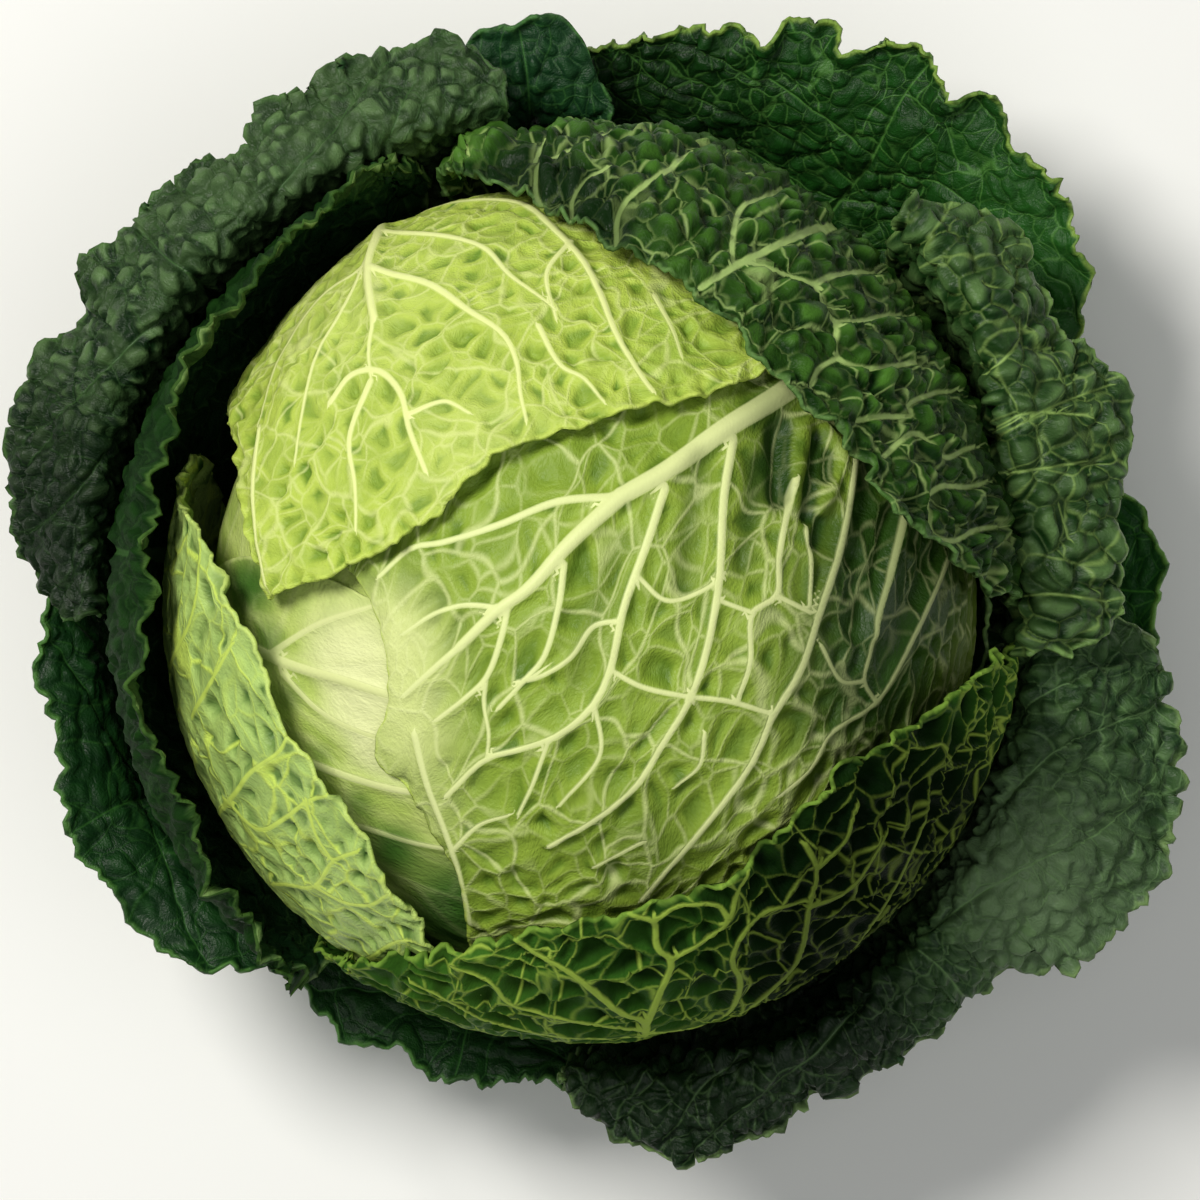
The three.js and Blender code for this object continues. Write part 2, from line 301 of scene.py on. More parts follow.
def rib_distances(points, facing, ribs, place, rest, shown):
    """For each point: the nearest rib's side and half (distance from its axis, signed by the
    side the point is on, and half its shown width), its gap (distance from the rib's skin) and
    the rib's raised height. shown is the share of a rib's width that shows as its skin."""
    found = {"side": np.full(len(points), FAR), "half": np.zeros(len(points)),
             "gap": np.full(len(points), FAR), "ridge": np.zeros(len(points))}
    crown = rest.reshape(-1, 3)
    for rib in ribs:
        steps = np.linspace(0, 1, RIB_STEPS)
        line = smooth_line(rib["line"], steps)
        if rib["from_above"]:
            line = line * MM
            height = []
            for x, y in line:
                away = np.hypot(crown[:, 0] - x, crown[:, 1] - y)
                near = away < max(LOOK_WITHIN, away.min() * 1.1)
                top = crown[near, 2] > crown[near, 2].max() - TOP_SKIN
                pull = np.exp(-((away[near][top] / MM) ** 2)) + 1e-9
                height.append((crown[near, 2][top] * pull).sum() / pull.sum())
            line = np.column_stack([line, height])
        else:
            line = place(line[:, 0], line[:, 1])
        widths = np.interp(steps, (0, 1), rib["half_width"]) * MM
        best = np.full(len(points), FAR)
        half = np.full(len(points), widths[0])
        hand = np.ones(len(points))
        for start, end, width in zip(line[:-1], line[1:], widths):
            stretch = end - start
            along = np.clip((points - start) @ stretch / max(stretch @ stretch, 1e-12), 0, 1)
            away = np.linalg.norm(points - start - along[:, None] * stretch, axis=1)
            nearer = away < best
            best = np.where(nearer, away, best)
            half = np.where(nearer, width, half)
            close = nearer & (away < TELL_SIDES_WITHIN)
            turn = (np.cross(stretch, points[close] - start) * facing[close]).sum(-1)
            hand[close] = np.where(turn < 0, -1, 1)
        nearest = best - half * shown < found["gap"]
        for key, values in (("side", best * hand), ("half", half * shown),
                            ("gap", best - half * shown)):
            found[key] = np.where(nearest, values, found[key])
        beside = best / np.maximum(half, LEAST_HALF_WIDTH)
        raised = half * rib["rise"] * (1 - eased(0.0, 2.0, beside))
        found["ridge"] = np.maximum(found["ridge"], raised)
    return found


def spots(points, places):
    """Sum of soft round spots, each (x, y, radius, amount), seen from above in millimetres."""
    total = np.zeros(points.shape[:-1])
    for x, y, radius, amount in places:
        away = np.hypot(points[..., 0] / MM - x, points[..., 1] / MM - y) / radius
        total += amount * np.exp(-away * away)
    return total


def pleats(points, folds):
    """Height of listed ridges and hollows, each (height, width, line), seen from above."""
    total = np.zeros(points.shape[:-1])
    flat = points[..., :2] / MM
    for height, width, line in folds:
        path = smooth_line(line, np.linspace(0, 1, 16))
        best = np.full(total.shape, 1e3)
        for start, end in zip(path[:-1], path[1:]):
            stretch = end - start
            along = np.clip((flat - start) @ stretch / (stretch @ stretch), 0, 1)
            best = np.minimum(best, np.linalg.norm(flat - start - along[..., None] * stretch,
                                                   axis=-1))
        total += height * np.exp(-((best / width) ** 2))
    return total


def named(name):
    """The piece just added, with its name on it and on its mesh."""
    piece = bpy.context.object
    piece.name = name
    piece.data.name = name
    return piece


def points_of(mesh):
    """Coordinates of a mesh's vertices, one row each."""
    flat = np.empty(len(mesh.vertices) * 3)
    mesh.vertices.foreach_get("co", flat)
    return flat.reshape(-1, 3)


def store_places(mesh, values):
    """Stores where each vertex lies in its leaf's vein net."""
    mesh.attributes.new("net_place", "FLOAT_VECTOR", "POINT")
    mesh.attributes["net_place"].data.foreach_set("vector", values)


def store_value(mesh, key, values):
    """Stores one number for each vertex under a name."""
    mesh.attributes.new(key, "FLOAT", "POINT")
    mesh.attributes[key].data.foreach_set("value", values)


HIDDEN_ROWS = 0.14
# Features per metre of the noise that bends the net, makes patches, creases and crumples.
BENDS = 38
PATCHES = 90
CREASES = 210
SMALL_CREASES = 440
CRUMPLES = 300


def grow_leaf(name, place, size, ribs, seed, cell, split=0.42, drift=3.0, stretch=None, fine=0,
              broad=0, pits=0, wrinkle=0, crumple=0, thin=0.8, reach=5, lift=0, wave=0,
              length=14, outer=True, raised=True, tone=(), calm=(), folds=(), spare=0.12):
    """Builds one leaf: a grid laid on its surface, crinkled along its veins, then given its
    thickness. size is (columns, rows), split is where the finely gridded outer part starts.
    cell, drift and stretch lay out the vein net. fine, broad and pits are the depths of its
    cells, wrinkle and crumple those of the creases between and at the rim, thin is the blade's
    thickness, and lift and wave are the rise and ruffle of a rim reach wide, length from wave
    to wave: all in millimetres. outer is True where the leaf's outside is laid out; raised is
    True where its veins stand up and the cells between them sink, False where the cells swell
    into blisters. spare is the share of its faces that the side laid out second keeps."""
    bpy.ops.object.select_all(action="DESELECT")
    bpy.ops.mesh.primitive_grid_add(x_subdivisions=size[0], y_subdivisions=size[1], size=1)
    leaf = named(name)
    mesh = leaf.data
    flat = points_of(mesh)
    order = np.lexsort((flat[:, 0], flat[:, 1].round(5)))
    columns = int((flat[:, 1] < flat[order[0], 1] + 1e-4).sum())
    s = (flat[order, 0] + 0.5).reshape(-1, columns)
    t = (flat[order, 1] + 0.5).reshape(-1, columns)
    t = np.interp(t, (0, HIDDEN_ROWS, 1), (0, split, 1))
    rest = place(s, t)
    slope_s = np.gradient(rest, axis=1)
    slope_t = np.gradient(rest, axis=0)
    normal = np.cross(slope_s, slope_t)
    normal /= np.maximum(np.linalg.norm(normal, axis=-1, keepdims=True), 1e-12)
    waist = (t > 0.3) & (t < 0.6)
    away = (normal * (rest - np.array((0, 0, HEART_CENTRE)))).sum(-1)
    turned = (away[waist].mean() > 0) != outer
    if turned:
        normal = -normal

    step_s = np.linalg.norm(slope_s, axis=-1)
    step_t = np.linalg.norm(slope_t, axis=-1)
    from_left = np.cumsum(step_s, axis=1) - step_s[:, :1]
    from_right = from_left[:, -1:] - from_left
    from_base = np.cumsum(step_t, axis=0) - step_t[:1]
    to_end = from_base[-1:] - from_base
    edge = np.minimum(np.minimum(from_left, from_right), to_end)

    stray = np.stack([rough(rest, BENDS, seed + 3 * i) for i in range(3)], -1)
    stretch = np.eye(3) if stretch is None else stretch
    net_place = (rest / MM + stray * drift) @ stretch.T / cell + seed * 3.7
    curl = np.stack([rough(net_place, 0.8, seed + 50 + i) for i in range(3)], -1)
    net_place += 0.4 * curl

    def to_mesh(values):
        flat_values = values.reshape(len(order), -1)
        out = np.empty_like(flat_values)
        out[order] = flat_values
        return out.ravel()

    mesh.vertices.foreach_set("co", to_mesh(rest))
    store_places(mesh, to_mesh(net_place))
    reader = leaf.modifiers.new("vein_net", "NODES")
    reader.node_group = vein_net
    bpy.ops.object.modifier_apply(modifier=reader.name)
    mesh = leaf.data
    cells = {}
    for key in ("fine_cell", "broad_cell"):
        values = np.empty(len(mesh.vertices))
        mesh.attributes[key].data.foreach_get("value", values)
        cells[key] = values[order].reshape(s.shape)
        mesh.attributes.remove(mesh.attributes[key])

    shown = 1.0 if outer else 0.12
    found = rib_distances(rest.reshape(-1, 3), normal.reshape(-1, 3), ribs, place, rest, shown)
    gap, ridge = found["gap"].reshape(s.shape), found["ridge"].reshape(s.shape)
    if raised:
        fine_cell = 1 - (1 - np.clip((cells["fine_cell"] - 0.05) / 0.33, 0, 1)) ** 2
        broad_cell = eased(0.0, 0.34, cells["broad_cell"])
    else:
        fine_cell = 1 - (1 - np.clip(cells["fine_cell"] / 0.36, 0, 1)) ** 2.2
        broad_cell = 1 - (1 - np.clip(cells["broad_cell"] / 0.36, 0, 1)) ** 2
    pit = eased(0.16, 0.4, cells["fine_cell"])
    patch = 0.5 + 0.5 * np.clip(rough(rest, PATCHES, seed + 20) * 2.4, -1, 1)
    swell = fine * fine_cell * (0.6 + 0.4 * patch)
    swell += broad * broad_cell
    swell += pits * pit * (0.15 + 0.85 * patch)
    crease = rough(rest, CREASES, seed + 31) + 0.5 * rough(rest, SMALL_CREASES, seed + 33)
    swell += wrinkle * crease
    frill = np.exp(-edge / (reach * MM)) * eased(0.3, 0.75, t)
    swell += crumple * frill * rough(rest, CRUMPLES, seed + 37)
    quiet = np.clip(1 + spots(rest, calm), 0, 2)
    clear = eased(-0.3 * MM, (2.4 if raised else 1.3) * MM, gap)
    swell *= clear * quiet * (0.25 + 0.75 * eased(0, 12 * MM, from_base))
    height = (-swell if raised else swell) * MM
    if outer:
        height += ridge
    wave_place = rest * np.array((1, 1, 0.6))
    ruffle = rough(wave_place, 1000 / length, seed + 40)
    ruffle += 0.4 * rough(wave_place, 2300 / length, seed + 43)
    corners = eased(0, 0.05, s) * eased(0, 0.05, 1 - s)
    height += (lift + wave * ruffle) * MM * frill * corners
    folded = pleats(rest, folds)
    height += folded * MM
    shape = rest + normal * height[..., None]
    mesh.vertices.foreach_set("co", to_mesh(shape))
    # Tone of each vertex: the listed spots, meaning paler tissue and painted light above zero and
    # painted shade below, plus painted shade in the pleats' hollows.
    shades = np.clip(spots(rest, tone) + 0.5 * np.minimum(folded, 0), -1, 1)
    for key, values in (("rib_side", found["side"]), ("rib_half", found["half"]),
                        ("rib_gap", gap), ("edge_gap", edge), ("tone", shades)):
        store_value(mesh, key, to_mesh(values))
    if turned:
        mesh.flip_normals()

    depth = thin * MM + (0 if outer else 1) * ridge
    thick = leaf.vertex_groups.new(name="thickness")
    weights = to_mesh(depth / depth.max())
    for index, weight in enumerate(weights.tolist()):
        thick.add((index,), weight, "REPLACE")
    blade = leaf.modifiers.new("blade", "SOLIDIFY")
    blade.thickness = depth.max()
    blade.offset = -1
    blade.vertex_group = thick.name
    blade.use_rim = True
    faces = len(mesh.polygons)
    bpy.ops.object.modifier_apply(modifier=blade.name)
    leaf.vertex_groups.clear()
    mesh = leaf.data
    shell = np.arange(len(mesh.polygons)) // faces
    mesh.polygons.foreach_set("material_index", (shell == 1).astype(int))
    for parts in (mesh.edges, mesh.polygons):
        parts.foreach_set("select", np.zeros(len(parts), bool))
    mesh.vertices.foreach_set("select", np.arange(len(mesh.vertices)) >= len(order))
    bpy.ops.object.mode_set(mode="EDIT")
    bpy.ops.mesh.select_mode(type="VERT")
    bpy.ops.mesh.select_less()
    bpy.ops.mesh.decimate(ratio=spare)
    bpy.ops.object.mode_set(mode="OBJECT")
    bpy.ops.object.shade_smooth()
    return leaf


def tint(code):
    """Linear colour from a six-digit sRGB code."""
    values = [int(code[i : i + 2], 16) / 255 for i in (0, 2, 4)]
    linear = [v / 12.92 if v <= 0.04045 else ((v + 0.055) / 1.055) ** 2.4 for v in values]
    return (*linear, 1.0)


def leaf_skin():
    """Shader group: colour, gloss and fine height of living savoy leaf tissue, with painted shade
    in the cells' pits and grooves and painted light and shade from the tone.
    """
    tree = bpy.data.node_groups.new("leaf_skin", "ShaderNodeTree")
    for way, kind, labels in (
        ("INPUT", "NodeSocketVector", ("Place",)),
        ("INPUT", "NodeSocketFloat", ("Rib Side", "Rib Half", "Rib Gap", "Edge Gap", "Tone")),
        ("INPUT", "NodeSocketColor", ("Blade", "Hollow", "Vein", "Rim", "Pale", "Deep")),
        ("INPUT", "NodeSocketFloat", ("Net Width", "Net Strength", "Fine Strength",
                                      "Hollow Strength", "Hollow From", "Gloss")),
        ("OUTPUT", "NodeSocketColor", ("Color",)),
        ("OUTPUT", "NodeSocketFloat", ("Roughness", "Height")),
    ):
        for label in labels:
            tree.interface.new_socket(label, in_out=way, socket_type=kind)
    give = add_node(tree, "NodeGroupInput").outputs

    def cells(scale):
        return add_node(tree, "ShaderNodeTexVoronoi", {"Scale": scale, "Vector": give["Place"]},
                        feature="DISTANCE_TO_EDGE").outputs["Distance"]

    def speckle(scale, detail):
        inputs = {"Scale": scale, "Detail": detail, "Vector": give["Place"]}
        return add_node(tree, "ShaderNodeTexNoise", inputs).outputs["Fac"]

    def maths(operation, a, b):
        return add_node(tree, "ShaderNodeMath", {0: a, 1: b}, operation=operation).outputs[0]

    def times(a, b):
        return maths("MULTIPLY", a, b)

    def ramp(value, low, high, out_low, out_high):
        inputs = {"Value": value, "From Min": low, "From Max": high, "To Min": out_low,
                  "To Max": out_high}
        return add_node(tree, "ShaderNodeMapRange", inputs,
                        interpolation_type="SMOOTHSTEP").outputs["Result"]

    def blend(mask, a, b):
        return add_node(tree, "ShaderNodeMix", {"Factor": mask, "A": a, "B": b},
                        data_type="RGBA").outputs["Result"]

    fine, broad = cells(1.0), cells(BROAD_NET)
    width = give["Net Width"]
    fade = times(ramp(speckle(0.5, 1), 0.36, 0.62, 0.25, 1), give["Fine Strength"])
    fine_line = times(ramp(fine, 0.0, times(width, 2.0), 1, 0), fade)
    broad_line = times(ramp(broad, 0.0, width, 1, 0), give["Net Strength"])
    axis = maths("SUBTRACT", maths("ABSOLUTE", give["Rib Side"], 0), give["Rib Half"])
    rib = ramp(give["Rib Gap"], 0.0005, 0.0011, 1, 0)
    rib = times(rib, ramp(axis, -0.0002, 0.0004, 1, 0))
    line = maths("MAXIMUM", maths("MAXIMUM", fine_line, broad_line), rib)
    mottle = ramp(speckle(0.9, 4), 0.3, 0.7, 0, 1)
    # Cell middles blend from the blade colour to the hollow colour. Where cells sink into pits, the
    # darker hollow colour is painted shade in the pits. Where cells swell into blisters, the darker
    # blade colour at their borders is painted shade in the grooves between them.
    middle = ramp(fine, give["Hollow From"], maths("ADD", give["Hollow From"], 0.22), 0, 1)
    depth = times(middle, give["Hollow Strength"])
    depth = times(depth, maths("ADD", times(mottle, 0.7), 0.3))
    body = blend(depth, give["Blade"], give["Hollow"])
    body = blend(times(ramp(mottle, 0, 1, 1, 0), 0.25), body, give["Hollow"])
    # Tone above zero lightens the colour toward the pale colour: paler tissue, and painted light on
    # lit sides. Tone below zero darkens it toward the deep colour, a painted shade, and the last
    # blend lays that painted shade over the veins too.
    body = blend(ramp(give["Tone"], 0, 1, 0, 1), body, give["Pale"])
    body = blend(ramp(give["Tone"], -1, 0, 1, 0), body, give["Deep"])
    body = blend(line, body, give["Vein"])
    body = blend(ramp(give["Tone"], -1, 0, 0.6, 0), body, give["Deep"])
    rim = times(ramp(give["Edge Gap"], 0.0002, 0.0014, 1, 0), 0.75)
    rim = times(rim, ramp(speckle(1.6, 2), 0.36, 0.58, 0.25, 1))
    dull = maths("ADD", times(speckle(2.5, 3), 0.25), maths("SUBTRACT", give["Gloss"], 0.12))
    grain = maths("ADD", times(speckle(3.2, 3), 0.8), speckle(11.0, 2))
    grain = times(grain, ramp(rib, 0, 1, 1, 0.2))
    add_node(tree, "NodeGroupOutput", {
        "Color": blend(rim, body, give["Rim"]),
        "Roughness": dull,
        "Height": maths("ADD", times(line, 0.7), grain),
    })
    return tree


skin = leaf_skin()


BUMP_STRENGTH = 0.5
BUMP_HEIGHT = 0.6 * MM


def leaf_material(name, blade, hollow, vein, rim, pale=None, deep=None, *, width, net, fine,
                  depth, hollow_from=0.05, gloss=0.45, shine=0.2):
    """A finish of the shared leaf skin. Colours are sRGB codes; width is that of the net's lines,
    net and fine say how far its broad and fine lines show, and depth how dark its cells' middles
    are, a painted shade in sunk pits. The pale colour and the deep colour are those the tone blends
    toward: the pale one for paler tissue and painted light, the deep one for painted shade."""
    material = bpy.data.materials.new(name)
    material.use_nodes = True
    tree = material.node_tree
    inputs = {"Net Width": width, "Net Strength": net, "Fine Strength": fine,
              "Hollow Strength": depth, "Hollow From": hollow_from, "Gloss": gloss}
    for label, code in (("Blade", blade), ("Hollow", hollow), ("Vein", vein), ("Rim", rim),
                        ("Pale", pale or blade), ("Deep", deep or hollow)):
        inputs[label] = tint(code)
    for label in ("Rib Side", "Rib Half", "Rib Gap", "Edge Gap", "Tone"):
        key = label.lower().replace(" ", "_")
        inputs[label] = add_node(tree, "ShaderNodeAttribute", attribute_name=key).outputs["Fac"]
    place = add_node(tree, "ShaderNodeAttribute", attribute_name="net_place")
    inputs["Place"] = place.outputs["Vector"]
    group = add_node(tree, "ShaderNodeGroup", inputs, node_tree=skin)
    bumps = add_node(tree, "ShaderNodeBump", {"Strength": BUMP_STRENGTH, "Distance": BUMP_HEIGHT,
                                              "Height": group.outputs["Height"]})
    feed(tree.nodes["Principled BSDF"], {
        "Base Color": group.outputs["Color"],
        "Roughness": group.outputs["Roughness"],
        "Normal": bumps.outputs["Normal"],
        "Specular IOR Level": shine,
    })
    return material


def above(half_width, *line, rise=0.8):
    """A rib given by the places it passes, in millimetres from the axis, seen from above."""
    return {"line": line, "half_width": half_width, "from_above": True, "rise": rise}


def inside(half_width, *line, rise=0.8):
    """A rib given in the leaf's own (s, t)."""
    return {"line": line, "half_width": half_width, "from_above": False, "rise": rise}


def lengthened(x, y, z, share):
    """Net stretch that makes cells longer along a direction, by 1 / (1 - share)."""
    way = np.array((x, y, z)) / math.hypot(x, y, z)
    return np.eye(3) - share * np.outer(way, way)


def settle(leaf, node, slot, *finishes):
    """Gives a finished leaf its two faces' materials and its place in the frame."""
    for finish in finishes:
        leaf.data.materials.append(finish)
    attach(leaf, "root")
    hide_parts(node)


centre_ribs = [
    above((2.48, 1.71), (58, 60), (44, 46.3), (29, 36.6), (17, 28), (7.5, 22.6), rise=0.9),
    above((1.66, 0.81), (7.5, 22.6), (-3, 13), (-12, 3.2), (-18, -1), (-26, -8.6), rise=0.9),
    above((0.65, 0.36), (-26, -8.6), (-33.5, -15), (-38, -19)),
    above((0.79, 0.36), (7.5, 22.6), (-5.4, 21.6), (-18, 16.7), (-30, 13), (-36, 12), (-43, 6)),
    above((0.5, 0.22), (-18, -0.5), (-25, 0), (-31, -1.6), (-38, -6)),
    above((0.58, 0.32), (-16, 0), (-17, -5.4), (-20.5, -15), (-25, -19.4), (-31, -24)),
    above((0.38, 0.22), (-20.5, -15), (-21, -20.5), (-20, -27), (-20.5, -32)),
    above((0.58, 0.32), (-4.3, 8.6), (-5.4, 0), (-8.6, -11), (-12, -15), (-18, -21.5)),
    above((0.43, 0.36), (7.5, -3.2), (2, -4.3), (-3, -11), (-9.7, -15), (-14, -16)),
    above((0.79, 0.43), (16.7, 24.3), (13, 13), (8, -1), (5.4, -13), (2, -20.5), (-5.4, -27),
          (-14, -30.2), (-20.5, -32), (-29, -40)),
    above((0.38, 0.22), (-7.5, -28), (-11, -37.7), (-14, -44)),
    above((0.38, 0.22), (2, -20.5), (3.2, -31), (-5.4, -42)),
    above((0.86, 0.43), (31, 34.5), (29, 22.6), (28, 5.4), (25.3, -9.7), (21.5, -20.5),
          (16.2, -29), (10.8, -37.7), (3.2, -44.2), (-7.5, -50.6)),
    above((0.43, 0.43), (5.4, -13.5), (12, -17), (21.5, -19), (30, -20), (38.8, -22.6)),
    above((0.38, 0.36), (11, 6), (17, 1), (24.8, 3.2), (28.5, 6)),
    above((0.94, 0.5), (57, 42), (57, 30), (54, 13), (49, -2), (45, -14), (39, -23.7),
          (35.6, -32), (27, -44), (17, -56), (12, -62)),
    above((0.65, 0.43), (44, 26), (42, 18), (40.5, 9.7), (40, 2), (35, -1.6), (34.5, -12),
          (31.8, -20)),
    above((0.43, 0.43), (40, 2), (47.4, -1.6)),
    above((0.38, 0.36), (35, -1.6), (28, 1)),
    above((0.5, 0.36), (46.3, 16), (47.4, 8.6), (47, 0)),
    above((0.38, 0.22), (25, -27), (24, -33.4), (19, -38)),
    above((0.38, 0.22), (12, -49.6), (2, -55)),
    above((0.65, 0.36), (68, 21.6), (64.6, 8.6), (61.4, -2), (60, -10), (58.7, -16), (61.4, -20.5)),
    above((0.38, 0.36), (58.7, -16), (54, -16), (49.6, -8.6)),
    above((0.65, 0.36), (78, 12), (75.4, 5.4), (68, -9.7), (61.4, -20.5), (51.7, -27),
          (47.4, -34.5), (41, -40)),
    above((0.65, 0.5), (-35.6, -27), (-33, -37.7), (-28, -51.7), (-24.5, -68)),
    above((0.43, 0.22), (-28, -51.7), (-22, -46), (-16, -44)),
    inside((3.2, 2.6), (0.5, 0.0), (0.5, 0.2), (0.5, 0.4), rise=0.6),
]
centre_folds = [
    (-3.4, 2.4, ((41.2, 36.5), (41, 30), (41.5, 23))),
    (1.4, 2.2, ((46.5, 42), (45, 30.5), (43.4, 22))),
    (-2.2, 1.5, ((49.5, 36), (48, 26), (47, 19))),
    (1.3, 1.2, ((51, 37), (54, 34), (54.3, 29), (52, 24), (49.5, 20))),
    (-1.8, 1.3, ((51.8, 32), (51.5, 27))),
    (-1.5, 1.3, ((50, 18), (48.5, 13))),
    (-1.4, 2.6, ((61, 30), (58.5, 13), (58, -2))),
    (1.2, 1.6, ((70, 24), (67, 12), (63, 0), (61, -6))),
    (-1.5, 1.8, ((65, 20), (62, 8))),
    (-1.4, 2.2, ((73, 10), (66.5, -5))),
    (-0.9, 3.0, ((24, 31), (22, 18), (20, 4))),
    (-0.9, 2.4, ((36, 30), (34.5, 18), (33, 8))),
    (-0.7, 3.0, ((8, 14), (2, -2), (-2, -16))),
]
centre_leaf = grow_leaf(
    "centre_leaf",
    head_place(
        base=45, layer=0,
        left=[(22, 140), (0, 118), (-13, 100), (-24, 86), (-42, 76), (-67, 72), (-90, 71)],
        end=[(-108, 70), (-111, 58), (-116, 48), (-126, 43), (-135, 40), (-143, 41),
             (-155, 33), (-168, 31), (-182, 33), (-192, 40), (-200, 52)],
        right=[(70, 140), (85, 115), (100, 90), (115, 74), (135, 66), (148, 60)],
        teeth=(4, 0.5),
    ),
    size=(240, 255), split=0.36,
    ribs=centre_ribs,
    seed=2, cell=6.2, stretch=lengthened(0.35, 0.92, 0, share=0.4), fine=1.1, broad=0.7, pits=1.3,
    wrinkle=0.4, crumple=0.4, thin=0.7, lift=-0.9, wave=0.5,
    # Tone spots: the pale left part paler, painted shade down the right side, and painted shadow
    # where the folded leaf overhangs.
    tone=[(-42, -8, 14, 0.9), (-37, -28, 12, 0.6), (-32, -46, 10, 0.35), (68, 8, 20, -1.0),
          (60, -20, 20, -0.8), (40, 26, 9, -0.3), (14, -54, 18, -0.35), (39, 43, 10, -0.6)],
    calm=[(44, 32, 16, -0.6), (26, 34, 12, -0.5), (-46, 6, 9, -0.7), (-42, -10, 11, -0.8),
          (-38, -30, 11, -0.8)],
    folds=centre_folds,
)
# Its hollow colour is painted shade in the pits, and its deep colour is painted shade.
pale_back = leaf_material(
    "pale_leaf_back", "8da73a", "426514", "dde6a0", "bcd25a", pale="d4de92", deep="24400f",
    width=0.04, net=0.52, fine=0.38, depth=0.85, hollow_from=0.12,
)
settle(centre_leaf, "head_leaf_centre", "head_leaf", pale_back, pale_back)


# ---- Upper left leaf of the head ----------------------------------------------------------
# The bright lime leaf that covers the upper left of the crown, back side out, its crumpled
# free margin lying across the centre leaf. It grows from the stump, over the centre leaf.

upper_ribs = [
    above((1.23, 0.8), (-43.3, 86), (-44, 78), (-45.5, 71), (-44, 60), rise=1.0),
    above((0.88, 0.2), (-44.8, 80), (-28.3, 78), (-21, 75.3), (-16, 69.7), (-9.7, 65), (-5.9, 62)),
    above((0.88, 0.2), (-45.4, 71), (-33, 67.8), (-24.6, 62), (-17, 56.6), (-14.3, 51),
          (-13.4, 44), (-12, 38)),
    above((1.06, 0.4), (-41.4, 84.7), (-28.3, 87), (-13.4, 85.6), (-6.9, 80), (-0.3, 72.5),
          (3.4, 65), (6.2, 57.6), (10.9, 49), (14, 44)),
    above((0.7, 0.4), (-53.5, 42.6), (-49, 48.5), (-43.3, 49.2), (-38.6, 44.5), (-36.7, 37),
          (-33, 27.7)),
    above((0.7, 0.2), (-45, 47), (-49.3, 35), (-48, 25), (-47.5, 15.6)),
    above((0.53, 0.2), (-44, 62), (-45.5, 54), (-45, 48)),
    above((0.7, 0.4), (-68.5, 37), (-69.4, 26), (-68.5, 13.7), (-67, 4.4)),
    above((0.53, 0.2), (-44.5, 76), (-52.6, 60.4), (-56.4, 53.8), (-59.2, 42.6), (-61, 30)),
    above((0.53, 0.2), (14.6, 65), (18.4, 57.6), (20.2, 52)),
    above((0.53, 0.2), (-9.7, 58.5), (-5, 50), (-0.3, 47.3), (4, 42)),
    above((0.53, 0.2), (-36.7, 40), (-29.3, 42.6), (-24, 40)),
    above((0.53, 0.2), (-3, 77), (-8, 70), (-6, 60)),
    above((0.53, 0.2), (-46, 72), (-56, 66), (-65, 52), (-69, 38)),
    inside((3.0, 1.6), (0.5, 0.0), (0.5, 0.25), (0.5, 0.5), rise=0.6),
]
upper_leaf = grow_leaf(
    "upper_leaf",
    head_place(
        base=118, layer=1, bulge={"azimuth": 115, "spread": 26, "amount": 4},
        left=[(96, 140), (84, 112), (73, 85), (60, 62)],
        end=[(50, 48), (61, 35), (74, 29), (99, 24), (121, 24), (154, 25), (172, 36), (179, 50)],
        right=[(137, 140), (147, 112), (151, 88), (155, 70), (164, 60)],
        teeth=(3.5, 0.8), seed=5,
    ),
    size=(225, 215),
    ribs=upper_ribs,
    seed=7, cell=5.6, drift=2.5, fine=0.6, broad=0.5, pits=1.7, wrinkle=0.45, crumple=1.8,
    reach=6, lift=1.8, wave=1.2,
    # Tone spots: painted light on the lit upper left, and painted shadow along the folded leaf.
    tone=[(-20, 30, 20, 0.4), (-52, 62, 22, 0.3), (20, 56, 14, -0.35), (-10, 84, 12, -0.2)],
    calm=[(-56, 30, 16, -0.35)],
    folds=[(1.3, 3.0, ((-43.3, 86), (-45, 74), (-44, 62))),
           (0.8, 3.0, ((-62, 50), (-66, 34), (-66, 14)))],
)
# Its hollow colour is painted shade in the pits, and its deep colour the painted shadow of the
# folded leaf.
lime_back = leaf_material(
    "lime_leaf_back", "b5ca53", "567d1c", "e2ea9c", "c6da62", pale="cfde82", deep="86a838",
    width=0.045, net=0.48, fine=0.4, depth=0.9, hollow_from=0.13,
)
settle(upper_leaf, "head_leaf_upper_left", "head_leaf", lime_back, lime_back)


# ---- Left leaf of the head ----------------------------------------------------------------
# A lime leaf standing up the lower left side, back side out: a smooth pale sheet between shallow
# veins, pricked with little pits whose darkness is painted shade. It grows from the stump, outside
# the two crown leaves, and its right margin stands a little clear of the centre leaf.

